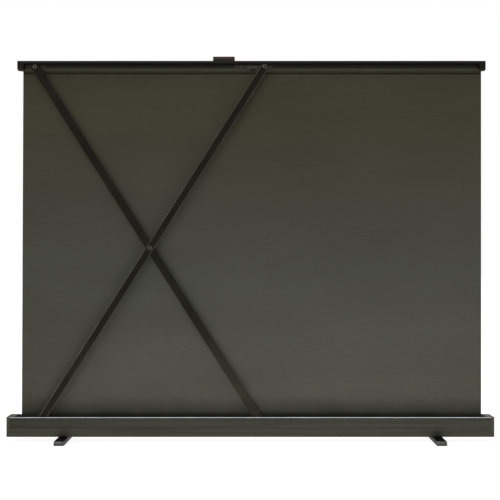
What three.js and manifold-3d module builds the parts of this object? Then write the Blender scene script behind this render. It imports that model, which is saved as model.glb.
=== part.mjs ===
// A portable pull-up projection screen in its raised state, modelled from behind.
// Lengths are millimetres. +X runs along the case, +Y points to the audience and +Z up.
// The origin is on the floor, under the middle of the case.

import * as THREE from 'three';
import { mergeVertices } from 'three/addons/utils/BufferGeometryUtils.js';
import Module from 'manifold-3d';

const wasm = await Module();
wasm.setup();

// Clearances
const seatGap = 0.3; // between pieces that touch
const sweepGap = 0.6; // between an arm and what it sweeps past
const cutOverrun = 1; // how far a cut runs past the face that it opens

// Fabric: a 4:3 picture with a border all round
const pictureWidth = 2032;
const pictureHeightShare = 0.75; // of its width
const sideBorder = 34;
const endBorder = 24.6; // above and below the picture
const fabricWidth = pictureWidth + 2 * sideBorder;
const fabricThickness = 0.35;
const wrapTurns = 2; // turns that stay on the roller when the screen is up
const screenOffset = 5; // the roller and the rail sit this far towards the right of the case

// Feet
const footLength = 320;
const footWidth = 45;
const footHeight = 19;
const footWall = 2.5;
const footInset = 256.5; // from each end of the case
const footCapInsert = 26;
const footCapChamfer = 5;
const footCapEdge = 1; // between the chamfer and the bar
const footCapFlange = footCapChamfer + footCapEdge;
const footPivotRadius = 5;
const footPivotHeadRadius = 10;
const footPivotHeadHeight = 4;
const footPivotTailRadius = 6.5;
const footPivotTailHeight = 2;
const footWasherRadius = 16;
const footWasherHeight = 1.4;

// Case
const caseHeight = 91.5;
const caseWall = 2;
const beadDepth = 5; // the thick bead along the top of the front and back walls
const beadHeight = 9;
const edgeDepth = 3.5; // the slanted edge on that bead, which catches the light
const edgeHeight = 5.5;
const grooveTop = 38; // below the top of the case
const grooveHeight = 13;
const grooveDepth = 0.7;
const cornerCut = 3; // along the bottom corners of the case
const caseCapFlange = 12;
const caseCapPlug = 23;
const caseCapRounding = 4;
const capScrewInset = 20; // from the top and bottom of the cap
const screwHeadRadius = 4;
const screwHeadHeight = 2.5;
const screwShankRadius = 1.75;
const screwShankLength = 12;

// Scissor
const armWidth = 34;
const armDepth = 8;
const armWeb = 2.5;
const armRim = 2.2;
const armGap = 2; // between the two arms
const leftPivotInset = 125.5; // from the left end of the case
const rightPivotInset = 130.5; // from the right end of the case, with the arms laid flat
const lowPivotHeight = 29; // above the inside floor of the case
const rivetRadius = 4;
const rivetHeadRadius = 9;
const rivetHeadHeight = 2.4;
const rivetCrown = 0.9;
const rivetBore = 3.2;
const washerRadius = 11;

// Rail
const railHeight = 43;
const railWall = 2;
const railLip = 11.5; // the short lip at the back
const railFascia = 30; // the front wall
const railSideGap = 2.6; // to the case's bead, when the screen is down
const pivotBelowRail = 24;
const trackPlate = 20; // height of the plates that sit in the rail's track
const trackPlateThickness = 3;
const trackLip = 1;
const trackLipReach = 2;
const trackArm = 1.2;
const railCapPlug = 22;
const railCapRounding = 5;
const railCapEdge = 1; // between the rounding and the rail
const railCapFlange = railCapRounding + railCapEdge;
const upperBracketLength = 89;
const bracketScrewSpacing = 68;
const lowHeadRadius = 4.5;
const lowHeadHeight = 1.2;

// Hem of the fabric
const battenThickness = 5;
const hemTopRoom = 7; // under the rail's web
const battenHeight = railHeight - railWall - hemTopRoom;
const clampThickness = 2;
const hemEndRoom = 8; // to the rail's end caps

// Carriages
const upperCarriageLeft = 140; // from the pivot to the left end
const upperCarriageRight = 31;
const carriageSlotLength = 27;
const carriageSlotHeight = 4;
const carriageSlotOffset = 55; // of the slot's middle, to the left of the pivot
const padLength = 22;
const padHeight = 12;
const padSpace = 4;
const padPitch = padLength + padSpace;
const padThickness = 1.1;
const padOffset = 58; // of the pads' middle, to the left of the pivot
const carriagePlateAbove = 12; // of the lower plates, above their pivot
const lowerPlateLength = 70;
const lowerBracketLength = 90;
const bracketFootDepth = 20;

// Lower track
const trackBase = 1.5;
const trackHeight = 9;
const trackWidth = 24;
const trackEdge = 2.5;
const trackBefore = 75; // past the pivot's raised place
const trackAfter = 70; // past the pivot's lowered place

// Grip
const gripPlace = 120; // to the left of the middle of the case
const gripLength = 99;
const gripDepth = 22;
const gripNeck = 5;
const gripHead = 13;
const gripNeckInset = 4;
const gripRounding = 5;
const gripPlate = 1.5;
const gripPlateDrop = 11;
const gripScrewSpacing = 60;

// Roller
const tubeRadius = 19.5;
const tubeWall = 1.6;
const tubeOverhang = 3; // past the fabric at each end
const rollClearance = 1.5; // under and over the full roll
const rollFrontRoom = 0.45; // between the full roll and the bead of the front wall
const rollerBracketThickness = 3;
const rollerBracketWidth = 40;
const rollerBracketAbove = 16; // above the roller's axis
const rollerEndRoom = 6.9; // from the right plug to its bracket
const plugFlange = 3;
const plugInsert = 25;
const mandrelRadius = 4;
const mandrelPast = 49; // past the end of the spring
const stubRadius = 5;

// Torsion spring inside the roller
const springTurns = 22;
const springRadius = 11;
const springWire = 1.6; // radius of the wire
const springPitch = 14;
const springStart = 60; // from the end of the tube

// Round shapes
const roundSegments = 24;
const smallSegments = 12; // of screws
const endSteps = 6; // half the segments of a round on an arm's end
const cornerSteps = 2; // half the segments of a rounded corner
const wrapSteps = 28; // of one turn of fabric
const coilSteps = 8;
const coilSides = 5;

// Lengths: the case follows the roller in it, and the arms fill the case when they lie flat
const tubeHalf = fabricWidth / 2 + tubeOverhang;
const tubeSeat = seatGap + plugFlange;
const bracketOuter = screenOffset + tubeHalf + tubeSeat + rollerEndRoom + rollerBracketThickness;
const bracketInner = bracketOuter - rollerBracketThickness;
const caseInside = bracketOuter + seatGap;
const caseLength = 2 * (caseInside + caseCapPlug + caseCapFlange);
const armLength = caseLength - leftPivotInset - rightPivotInset;
const railLength = fabricWidth + 2 * (hemEndRoom + railCapFlange);

// Heights of the case
const caseBottom = footHeight + footWasherHeight + 2 * seatGap;
const caseTop = caseBottom + caseHeight;
const caseFloor = caseBottom + caseWall;

// Raised state of the scissor: the picture and its borders show between the case and the rail
const pictureHeight = pictureHeightShare * pictureWidth;
const railTop = caseTop + 2 * endBorder + pictureHeight + railHeight;
const lowPivot = caseFloor + lowPivotHeight;
const highPivot = railTop - pivotBelowRail;
const openAngle = Math.asin((highPivot - lowPivot) / armLength);
const leftPivot = -caseLength / 2 + leftPivotInset;
const rightPivot = leftPivot + armLength * Math.cos(openAngle);

// Roll of fabric: it leaves the roller at the back, in line with the sheet
const layerPitch = fabricThickness + seatGap;
const innerLayer = tubeRadius + seatGap + fabricThickness / 2;
const outerLayer = innerLayer + wrapTurns * layerPitch;
const wrapRadius = outerLayer + fabricThickness / 2;
const woundArea = (highPivot * fabricThickness) / Math.PI;
const fullRoll = Math.sqrt(wrapRadius * wrapRadius + woundArea);
const rollerZ = caseFloor + fullRoll + rollClearance;

// Layers, counted from the back of the case; its depth follows from them and from the full roll
const railInset = beadDepth + railSideGap;
const rearArmInset = railInset + railWall + sweepGap + 2 * seatGap;
const frontArmInset = rearArmInset + armDepth + armGap;
const trackLipInset = frontArmInset + armDepth + sweepGap;
const plateInset = trackLipInset + trackLip + seatGap;
const wallInset = plateInset + trackPlateThickness + seatGap;
const battenInset = wallInset + railWall + seatGap;
const fabricInset = battenInset + battenThickness + seatGap;
const caseDepth = fabricInset + wrapRadius + fullRoll + rollFrontRoom + beadDepth;

// The same layers in the part's frame
const caseBack = -caseDepth / 2;
const caseFront = caseDepth / 2;
const railBack = caseBack + railInset;
const rearArmBack = caseBack + rearArmInset;
const rearArmFront = rearArmBack + armDepth;
const frontArmBack = caseBack + frontArmInset;
const frontArmFront = frontArmBack + armDepth;
const trackLipBack = caseBack + trackLipInset;
const plateBack = caseBack + plateInset;
const plateFront = plateBack + trackPlateThickness;
const wallBack = caseBack + wallInset;
const wallFront = wallBack + railWall;
const battenBack = caseBack + battenInset;
const battenFront = battenBack + battenThickness;
const fabricBack = caseBack + fabricInset;
const fabricFront = fabricBack + fabricThickness;
const clampBack = fabricFront + seatGap;
const rollerY = fabricBack + wrapRadius;

// Lowered state: the rail rests just above the full roll
const loweredRailTop = rollerZ + fullRoll + rollClearance + railHeight;
const loweredPivot = loweredRailTop - pivotBelowRail;
const loweredAngle = Math.asin((loweredPivot - lowPivot) / armLength);
const loweredRight = leftPivot + armLength * Math.cos(loweredAngle);

// Colours and finishes
function finish(color, roughness, metalness) {
  return new THREE.MeshStandardMaterial({ color, roughness, metalness });
}

const blackAluminium = () => finish(0x3c3b36, 0.45, 0.6);
const blackSteel = () => finish(0x24221f, 0.5, 0.5);
const blackPlastic = () => finish(0x2b2a27, 0.6, 0);
const greyPlastic = () => finish(0x77736a, 0.55, 0);
const zincSteel = () => finish(0x8f8a7e, 0.35, 0.9);
const springSteel = () => finish(0x6b6760, 0.3, 0.95);
const darkFabric = () => finish(0x3f3d36, 0.9, 0);
const gripPlastic = () => finish(0x2a1c1d, 0.4, 0);
const nylon = () => finish(0x8b877a, 0.6, 0);

// Solids: joins and cuts

function toSolid(geometry) {
  const bare = geometry.clone();
  bare.deleteAttribute('normal');
  bare.deleteAttribute('uv');
  const merged = mergeVertices(bare);
  return new wasm.Manifold(new wasm.Mesh({
    numProp: 3,
    vertProperties: merged.attributes.position.array,
    triVerts: new Uint32Array(merged.index.array),
  }));
}

function toGeometry(solid) {
  const mesh = solid.getMesh();
  const geometry = new THREE.BufferGeometry();
  geometry.setAttribute('position', new THREE.BufferAttribute(mesh.vertProperties, 3));
  geometry.setIndex(new THREE.BufferAttribute(mesh.triVerts, 1));
  return geometry;
}

function cut(body, tools) {
  return toGeometry(tools.reduce((rest, tool) => rest.subtract(toSolid(tool)), toSolid(body)));
}

function join(pieces) {
  return toGeometry(pieces.slice(1).reduce((sum, piece) => sum.add(toSolid(piece)), toSolid(pieces[0])));
}

function common(first, second) {
  return toGeometry(toSolid(first).intersect(toSolid(second)));
}

// Shapes: each range is [low, high]

function block(xRange, yRange, zRange) {
  const ranges = [xRange, yRange, zRange];
  const sizes = ranges.map(([low, high]) => high - low);
  const middles = ranges.map(([low, high]) => (low + high) / 2);
  return new THREE.BoxGeometry(...sizes).translate(...middles);
}

function shapeOf(points) {
  return new THREE.Shape(points.map(([u, v]) => new THREE.Vector2(u, v)));
}

const xAxis = new THREE.Vector3(1, 0, 0);
const yAxis = new THREE.Vector3(0, 1, 0);
const zAxis = new THREE.Vector3(0, 0, 1);
const sectionFrame = new THREE.Matrix4().makeBasis(yAxis, zAxis, xAxis);
const plateFrame = new THREE.Matrix4().makeBasis(xAxis, zAxis, yAxis.clone().negate());

// A section in Y and Z, run along X.
function profile(points, [low, high]) {
  const solid = new THREE.ExtrudeGeometry(shapeOf(points), { depth: high - low, bevelEnabled: false });
  return solid.applyMatrix4(sectionFrame).translate(low, 0, 0);
}

// An outline in X and Z, run along Y.
function sheet(shape, [low, high], curveSegments = cornerSteps) {
  const settings = { depth: high - low, bevelEnabled: false, curveSegments };
  return new THREE.ExtrudeGeometry(shape, settings).applyMatrix4(plateFrame).translate(0, high, 0);
}

// A round piece from points of [radius, place along its axis].
function turned(points, segments = roundSegments) {
  const outline = points.map(([radius, along]) => new THREE.Vector2(radius, along));
  return new THREE.LatheGeometry(outline, segments);
}

const alongX = (geometry) => geometry.rotateZ(-Math.PI / 2);
const alongZ = (geometry) => geometry.rotateX(Math.PI / 2);

function rod(radius, [low, high], segments = roundSegments) {
  return turned([[0, low], [radius, low], [radius, high], [0, high]], segments);
}

function screwHole(radius, range) {
  return rod(radius + seatGap, range, smallSegments);
}

function ring(inner, outer, [low, high]) {
  return turned([[inner, low], [outer, low], [outer, high], [inner, high], [inner, low]]);
}

function rounded(xRange, zRange, radii) {
  const [left, right] = xRange;
  const [bottom, top] = zRange;
  const [lowLeft, lowRight, highRight, highLeft] = radii;
  const shape = new THREE.Shape();
  shape.moveTo(left + lowLeft, bottom);
  shape.lineTo(right - lowRight, bottom);
  if (lowRight > 0) shape.absarc(right - lowRight, bottom + lowRight, lowRight, -Math.PI / 2, 0);
  shape.lineTo(right, top - highRight);
  if (highRight > 0) shape.absarc(right - highRight, top - highRight, highRight, 0, Math.PI / 2);
  shape.lineTo(left + highLeft, top);
  if (highLeft > 0) shape.absarc(left + highLeft, top - highLeft, highLeft, Math.PI / 2, Math.PI);
  shape.lineTo(left, bottom + lowLeft);
  if (lowLeft > 0) shape.absarc(left + lowLeft, bottom + lowLeft, lowLeft, Math.PI, 1.5 * Math.PI);
  return shape;
}

// The outline of an arm, from a pivot at the origin to a pivot along +X.
function armOutline(radius) {
  const shape = new THREE.Shape();
  shape.moveTo(0, -radius);
  shape.lineTo(armLength, -radius);
  shape.absarc(armLength, 0, radius, -Math.PI / 2, Math.PI / 2);
  shape.lineTo(0, radius);
  shape.absarc(0, 0, radius, Math.PI / 2, 1.5 * Math.PI);
  return shape;
}

function add(group, name, geometry, material) {
  const mesh = new THREE.Mesh(geometry, material);
  mesh.name = name;
  group.add(mesh);
  return mesh;
}

function place(parent, x, y, z) {
  const group = new THREE.Group();
  group.position.set(x, y, z);
  parent.add(group);
  return group;
}

const screen = new THREE.Group();

// Case: the trough, its end caps and their screws

const footReach = caseLength / 2 - footInset;
const footPlaces = [['left', -footReach], ['right', footReach]];

function troughSection() {
  const inner = caseBack + caseWall;
  const bead = caseBack + beadDepth;
  const grooveHigh = caseTop - grooveTop;
  const grooveLow = grooveHigh - grooveHeight;
  const back = [
    [inner, caseFloor],
    [inner, caseTop - beadHeight],
    [bead, caseTop - beadHeight + beadDepth - caseWall],
    [bead, caseTop],
    [caseBack + edgeDepth, caseTop],
    [caseBack, caseTop - edgeHeight],
    [caseBack, grooveHigh],
    [caseBack + grooveDepth, grooveHigh - grooveDepth],
    [caseBack + grooveDepth, grooveLow + grooveDepth],
    [caseBack, grooveLow],
    [caseBack, caseBottom + cornerCut],
    [caseBack + cornerCut, caseBottom],
  ];
  const front = back.map(([y, z]) => [-y, z]).reverse();
  return [...back, ...front];
}

function caseTrough() {
  const half = caseLength / 2 - caseCapFlange - seatGap;
  const body = profile(troughSection(), [-half, half]);
  const holes = footPlaces.map(([, x]) => {
    const hole = alongZ(rod(footPivotRadius + seatGap, [caseBottom - cutOverrun, caseFloor + cutOverrun]));
    return hole.translate(x, 0, 0);
  });
  return cut(body, holes);
}

const capScrewHeights = [
  ['low', caseBottom + capScrewInset],
  ['high', caseTop - capScrewInset],
];

// Built for the right end; the left one is turned half round.
function caseEndCap() {
  const inner = caseLength / 2 - caseCapFlange;
  const outer = caseLength / 2;
  const radii = [0, caseCapRounding, caseCapRounding, 0];
  const flangeOutline = rounded([inner, outer], [caseBottom, caseTop], radii);
  const flange = common(
    sheet(flangeOutline, [caseBack, caseFront]),
    profile(capSection(), [inner, outer]),
  );
  const plugHalf = caseFront - beadDepth - seatGap;
  const plug = block([caseInside, inner], [-plugHalf, plugHalf], [caseFloor + seatGap, caseTop]);
  const recess = screwHeadHeight + seatGap;
  const pockets = capScrewHeights.flatMap(([, z]) => [
    alongX(screwHole(screwHeadRadius, [outer - recess, outer + cutOverrun])).translate(0, 0, z),
    alongX(screwHole(screwShankRadius, [outer - recess - screwShankLength, outer])).translate(0, 0, z),
  ]);
  return cut(join([flange, plug]), pockets);
}

function capSection() {
  const back = [
    [caseBack + edgeDepth, caseTop],
    [caseBack, caseTop - edgeHeight],
    [caseBack, caseBottom + cornerCut],
    [caseBack + cornerCut, caseBottom],
  ];
  return [...back, ...back.map(([y, z]) => [-y, z]).reverse()];
}

// A screw along X whose head's top is at the origin, pointing to -X.
function screw() {
  return alongX(turned([
    [0, -screwHeadHeight - screwShankLength + seatGap],
    [screwShankRadius, -screwHeadHeight - screwShankLength + seatGap],
    [screwShankRadius, -screwHeadHeight],
    [screwHeadRadius, -screwHeadHeight],
    [screwHeadRadius, 0],
    [0, 0],
  ], smallSegments));
}

const caseGroup = place(screen, 0, 0, 0);
add(caseGroup, 'case_trough', caseTrough(), blackAluminium());
for (const [side, turn] of [['left', Math.PI], ['right', 0]]) {
  const end = place(caseGroup, 0, 0, 0);
  end.rotation.z = turn;
  add(end, `case_end_cap_${side}`, caseEndCap(), blackPlastic());
  for (const [level, z] of capScrewHeights) {
    add(place(end, caseLength / 2, 0, z), `case_cap_screw_${side}_${level}`, screw(), zincSteel());
  }
}

// Lower track and its pivot bracket, on the floor of the case

const trackFloor = caseFloor + seatGap;
const trackFront = plateFront + seatGap + trackEdge;
const trackBack = trackFront - trackWidth;
const trackTop = trackFloor + trackHeight;

function lowerTrack() {
  const section = [
    [trackBack, trackFloor],
    [trackFront, trackFloor],
    [trackFront, trackTop],
    [trackFront - trackEdge, trackTop],
    [trackFront - trackEdge, trackTop - trackBase],
    [trackFront - trackBase, trackTop - trackBase],
    [trackFront - trackBase, trackFloor + trackBase],
    [trackBack + trackBase, trackFloor + trackBase],
    [trackBack + trackBase, trackTop - trackBase],
    [trackBack + trackEdge, trackTop - trackBase],
    [trackBack + trackEdge, trackTop],
    [trackBack, trackTop],
  ];
  return profile(section, [rightPivot - trackBefore, loweredRight + trackAfter]);
}

const lowBracketBack = rearArmFront + armGap;
const lowBracketFront = lowBracketBack + trackPlateThickness;

function pivotHole(yRange) {
  const long = [yRange[0] - cutOverrun, yRange[1] + cutOverrun];
  return rod(rivetRadius + seatGap, long);
}

function lowerPivotBracket() {
  const half = lowerBracketLength / 2;
  const bottom = trackFloor - lowPivot;
  const yRange = [lowBracketBack, lowBracketFront];
  const upright = rounded([-half, half], [bottom, carriagePlateAbove], [0, 0, washerRadius, washerRadius]);
  const foot = block(
    [-half, half],
    [lowBracketBack, lowBracketBack + bracketFootDepth],
    [bottom, bottom + trackPlateThickness],
  );
  return cut(join([sheet(upright, yRange), foot]), [pivotHole(yRange)]);
}

add(caseGroup, 'lower_track', lowerTrack(), zincSteel());
const lowLeft = place(screen, leftPivot, 0, lowPivot);
add(lowLeft, 'lower_pivot_bracket', lowerPivotBracket(), zincSteel());

// Arms: shallow channels, back to back

function holeAt(distance, yRange) {
  return pivotHole(yRange).translate(distance, 0, 0);
}

function arm(yRange, panRange) {
  const pan = sheet(armOutline(armWidth / 2 - armRim), panRange, endSteps);
  const holes = [0, armLength / 2, armLength].map((distance) => holeAt(distance, yRange));
  return cut(sheet(armOutline(armWidth / 2), yRange, endSteps), [pan, ...holes]);
}

const rearWebBack = rearArmFront - armWeb;
const frontWebFront = frontArmBack + armWeb;

// A hollow rivet along Y, whose head seats on a face at headFace and whose shank ends at shankEnd.
function rivet(headFace, shankEnd, tail) {
  const under = headFace - seatGap;
  const top = under - rivetHeadHeight;
  const points = [
    [0, headFace],
    [rivetBore, headFace],
    [rivetBore, top],
    [rivetHeadRadius - rivetCrown, top],
    [rivetHeadRadius, top + rivetCrown],
    [rivetHeadRadius, under],
    [rivetRadius, under],
    [rivetRadius, shankEnd],
  ];
  if (tail > 0) points.push([rivetHeadRadius, shankEnd], [rivetHeadRadius, shankEnd + tail]);
  points.push([0, shankEnd + tail]);
  return turned(points);
}

function washer([low, high], radius) {
  return ring(rivetRadius + seatGap, radius, [low + seatGap, high - seatGap]);
}

// What passes between the lips of the rail's track is smaller.
const inTrackRadius = trackPlate / 2 - trackLipReach;

const rearArm = place(screen, leftPivot, 0, lowPivot);
rearArm.rotation.y = -openAngle;
const rearRange = [rearArmBack, rearArmFront];
add(rearArm, 'rear_arm', arm(rearRange, [rearArmBack - cutOverrun, rearWebBack]), blackSteel());
add(rearArm, 'lower_pivot_rivet', rivet(rearWebBack, lowBracketFront, 0), zincSteel());
add(rearArm, 'lower_pivot_washer', washer([rearArmFront, lowBracketBack], washerRadius), nylon());

const crossing = place(rearArm, armLength / 2, 0, 0);
add(crossing, 'centre_rivet', rivet(rearWebBack, frontWebFront + seatGap, rivetHeadHeight), zincSteel());
add(crossing, 'centre_washer', washer([rearArmFront, frontArmBack], washerRadius), nylon());

const rearArmTop = place(rearArm, armLength, 0, 0);
add(rearArmTop, 'upper_slider_rivet', rivet(rearWebBack, plateFront, 0), zincSteel());
add(rearArmTop, 'upper_slider_spacer', washer([rearArmFront, plateBack], inTrackRadius), nylon());

const frontArm = place(screen, leftPivot, 0, highPivot);
frontArm.rotation.y = openAngle;
const frontRange = [frontArmBack, frontArmFront];
add(frontArm, 'front_arm', arm(frontRange, [frontWebFront, frontArmFront + cutOverrun]), blackSteel());
add(frontArm, 'upper_pivot_rivet', rivet(frontArmBack, plateFront, 0), zincSteel());
add(frontArm, 'upper_pivot_washer', washer([frontWebFront, plateBack], inTrackRadius), nylon());

const frontArmLow = place(frontArm, armLength, 0, 0);
add(frontArmLow, 'lower_slider_rivet', rivet(frontArmBack, plateFront, 0), zincSteel());
add(frontArmLow, 'lower_slider_washer', washer([frontWebFront, plateBack], washerRadius), nylon());

// Rail: its section is drawn from its top face down

const railMiddle = screenOffset;
const railHalf = railLength / 2;
const railFront = -railBack;
const trackHigh = -pivotBelowRail + trackPlate / 2 + seatGap;
const trackLow = -pivotBelowRail - trackPlate / 2 - seatGap;

function railSection() {
  const lipFront = trackLipBack + trackLip;
  return [
    [railBack, 0],
    [railBack, -railLip],
    [railBack + railWall, -railLip],
    [railBack + railWall, -railWall],
    [wallBack, -railWall],
    [wallBack, trackHigh + trackArm],
    [trackLipBack, trackHigh + trackArm],
    [trackLipBack, trackHigh - trackLipReach],
    [lipFront, trackHigh - trackLipReach],
    [lipFront, trackHigh],
    [wallBack, trackHigh],
    [wallBack, trackLow],
    [lipFront, trackLow],
    [lipFront, trackLow + trackLipReach],
    [trackLipBack, trackLow + trackLipReach],
    [trackLipBack, trackLow - trackArm],
    [wallBack, trackLow - trackArm],
    [wallBack, -railHeight],
    [wallFront, -railHeight],
    [wallFront, -railWall],
    [railFront - railWall, -railWall],
    [railFront - railWall, -railFascia],
    [railFront, -railFascia],
    [railFront, 0],
  ];
}

const bracketScrews = [['left', -bracketScrewSpacing / 2], ['right', bracketScrewSpacing / 2]];
const gripScrews = [['left', -gripScrewSpacing / 2], ['right', gripScrewSpacing / 2]];
const gripMiddle = railBack + gripDepth / 2;

function topRail() {
  const half = railHalf - railCapFlange - seatGap;
  const wallHoles = bracketScrews.map(([, x]) => {
    const hole = screwHole(screwShankRadius, [plateBack, wallFront + cutOverrun]);
    return hole.translate(leftPivot - railMiddle + x, 0, -pivotBelowRail);
  });
  const webHoles = gripScrews.map(([, x]) => {
    const hole = alongZ(screwHole(screwShankRadius, [-railWall - cutOverrun, cutOverrun]));
    return hole.translate(-gripPlace - railMiddle + x, gripMiddle, 0);
  });
  return cut(profile(railSection(), [-half, half]), [...wallHoles, ...webHoles]);
}

// Built for the right end; the left one is its mirror image.
function railEndCap() {
  const inner = railHalf - railCapFlange;
  const outline = rounded([inner, railHalf], [-railHeight, 0], [0, railCapRounding, railWall, 0]);
  const section = [
    [railBack, 0],
    [railBack, -railHeight],
    [wallFront, -railHeight],
    [wallFront, -railFascia],
    [railFront, -railFascia],
    [railFront, 0],
  ];
  const flange = common(sheet(outline, [railBack, railFront]), profile(section, [inner, railHalf]));
  const plug = block(
    [inner - railCapPlug, inner],
    [railBack + railWall + seatGap, trackLipBack - seatGap],
    [-railHeight + railCapRounding, -railWall - seatGap],
  );
  return join([flange, plug]);
}

function upperPivotBracket() {
  const half = upperBracketLength / 2;
  const yRange = [plateBack, plateFront];
  const plate = block([-half, half], yRange, [-trackPlate / 2, trackPlate / 2]);
  const holes = bracketScrews.map(([, x]) => {
    return screwHole(screwShankRadius, [plateBack - cutOverrun, wallBack]).translate(x, 0, 0);
  });
  return cut(plate, [pivotHole(yRange), ...holes]);
}

// A screw with a low head, along Y.
function lowScrew(headFace, shankEnd) {
  const top = headFace - lowHeadHeight;
  return turned([
    [0, top],
    [lowHeadRadius, top],
    [lowHeadRadius, headFace - seatGap],
    [screwShankRadius, headFace - seatGap],
    [screwShankRadius, shankEnd],
    [0, shankEnd],
  ], smallSegments);
}

const rail = place(screen, railMiddle, 0, railTop);
add(rail, 'top_rail', topRail(), blackAluminium());
add(rail, 'rail_end_cap_left', railEndCap(), blackPlastic()).scale.x = -1;
add(rail, 'rail_end_cap_right', railEndCap(), blackPlastic());

const highLeft = place(screen, leftPivot, 0, highPivot);
add(highLeft, 'upper_pivot_bracket', upperPivotBracket(), zincSteel());
for (const [side, x] of bracketScrews) {
  const screwPlace = place(highLeft, x, 0, 0);
  add(screwPlace, `pivot_bracket_screw_${side}`, lowScrew(plateBack, wallFront), zincSteel());
}

// Hem: the batten behind the fabric and the clamp strip in front of it

function strip([back, front]) {
  const low = -railHeight;
  return block([-fabricWidth / 2, fabricWidth / 2], [back, front], [low, low + battenHeight]);
}

add(rail, 'hem_batten', strip([battenBack, battenFront]), blackPlastic());
add(rail, 'hem_clamp_strip', strip([clampBack, clampBack + clampThickness]), blackAluminium());

// Grip: a moulded head on a neck, over a plate that wraps the rear lip

const gripTopZ = seatGap + gripPlate + seatGap;

function gripBracket() {
  const back = railBack - seatGap - gripPlate;
  const half = gripLength / 2;
  const section = [
    [back, -gripPlateDrop],
    [back + gripPlate, -gripPlateDrop],
    [back + gripPlate, seatGap],
    [railBack + gripDepth, seatGap],
    [railBack + gripDepth, seatGap + gripPlate],
    [back, seatGap + gripPlate],
  ];
  const holes = gripScrews.map(([, x]) => {
    const hole = alongZ(screwHole(screwShankRadius, [-cutOverrun, gripPlate + cutOverrun]));
    return hole.translate(x, gripMiddle, 0);
  });
  return cut(profile(section, [-half, half]), holes);
}

function pullGrip() {
  const half = gripLength / 2;
  const [back, front] = [railBack, railBack + gripDepth];
  const neckTop = gripTopZ + gripNeck;
  const top = neckTop + gripHead;
  const edge = gripNeckInset;
  const section = [
    [back + gripNeckInset, gripTopZ],
    [front - gripNeckInset, gripTopZ],
    [front - gripNeckInset, neckTop],
    [front, neckTop],
    [front, top - edge],
    [front - edge, top],
    [back + edge, top],
    [back, top - edge],
    [back, neckTop],
    [back + gripNeckInset, neckTop],
  ];
  const outline = rounded([-half, half], [gripTopZ, top], [0, 0, gripRounding, gripRounding]);
  const body = common(profile(section, [-half, half]), sheet(outline, [back, front]));
  const holes = gripScrews.map(([, x]) => {
    const hole = alongZ(screwHole(screwShankRadius, [gripTopZ - cutOverrun, neckTop + seatGap]));
    return hole.translate(x, gripMiddle, 0);
  });
  return cut(body, holes);
}

// Its head seats under the rail's web.
function gripScrew() {
  const head = -railWall - seatGap;
  return alongZ(turned([
    [0, head - lowHeadHeight],
    [lowHeadRadius, head - lowHeadHeight],
    [lowHeadRadius, head],
    [screwShankRadius, head],
    [screwShankRadius, gripTopZ + gripNeck],
    [0, gripTopZ + gripNeck],
  ], smallSegments));
}

const gripGroup = place(rail, -gripPlace - railMiddle, 0, 0);
add(gripGroup, 'grip_bracket', gripBracket(), greyPlastic());
add(gripGroup, 'pull_grip', pullGrip(), gripPlastic());
for (const [side, x] of gripScrews) {
  add(place(gripGroup, x, gripMiddle, 0), `grip_screw_${side}`, gripScrew(), zincSteel());
}

// Upper carriage: a plate in the rail's track, with two pads on its face

function upperCarriage() {
  const yRange = [plateBack, plateFront];
  const half = trackPlate / 2;
  const plate = block([-upperCarriageLeft, upperCarriageRight], yRange, [-half, half]);
  const slot = block(
    [-carriageSlotOffset - carriageSlotLength / 2, -carriageSlotOffset + carriageSlotLength / 2],
    [plateBack - cutOverrun, plateFront + cutOverrun],
    [-half - cutOverrun, -half + carriageSlotHeight],
  );
  return cut(plate, [pivotHole(yRange), slot]);
}

function glidePad() {
  const front = plateBack - seatGap;
  const shape = rounded(
    [-padLength / 2, padLength / 2],
    [-padHeight / 2, padHeight / 2],
    [padThickness, padThickness, padThickness, padThickness],
  );
  return sheet(shape, [front - padThickness, front]);
}

const upperRight = place(screen, rightPivot, 0, highPivot);
add(upperRight, 'upper_carriage', upperCarriage(), zincSteel());
for (const [side, shift] of [['left', -padPitch / 2], ['right', padPitch / 2]]) {
  add(place(upperRight, shift - padOffset, 0, 0), `glide_pad_${side}`, glidePad(), nylon());
}

// Lower carriage: a slider in the lower track, with an upright plate for the arm

function lowerCarriage() {
  const half = lowerPlateLength / 2;
  const yRange = [plateBack, plateFront];
  const bottom = trackFloor + trackBase + seatGap - lowPivot;
  const slider = block(
    [-half, half],
    [trackBack + trackBase + seatGap, trackFront - trackBase - seatGap],
    [bottom, bottom + trackPlateThickness],
  );
  const outline = rounded([-half, half], [bottom, carriagePlateAbove], [0, 0, washerRadius, washerRadius]);
  return cut(join([slider, sheet(outline, yRange)]), [pivotHole(yRange)]);
}

const lowRight = place(screen, rightPivot, 0, lowPivot);
add(lowRight, 'lower_carriage', lowerCarriage(), zincSteel());

// Fabric: the sheet between the roller and the hem

function fabricSheet() {
  const half = fabricWidth / 2;
  const top = railTop - railHeight + battenHeight;
  return block([-half, half], [fabricBack, fabricFront], [rollerZ + seatGap, top]);
}

add(place(screen, screenOffset, 0, 0), 'screen_fabric', fabricSheet(), darkFabric());

// Roller: its axis is X

// The strip's section: two turns that end where the sheet starts.
function woundFabric() {
  const steps = wrapTurns * wrapSteps;
  const layer = (offset) => {
    return Array.from({ length: steps + 1 }, (_, step) => {
      const turn = step / wrapSteps - wrapTurns;
      const radius = outerLayer + layerPitch * turn + offset;
      const angle = 2 * Math.PI * turn;
      return [-radius * Math.cos(angle), radius * Math.sin(angle)];
    });
  };
  const outer = layer(fabricThickness / 2);
  const inner = layer(-fabricThickness / 2);
  return profile([...outer, ...inner.reverse()], [-fabricWidth / 2, fabricWidth / 2]);
}

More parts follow.
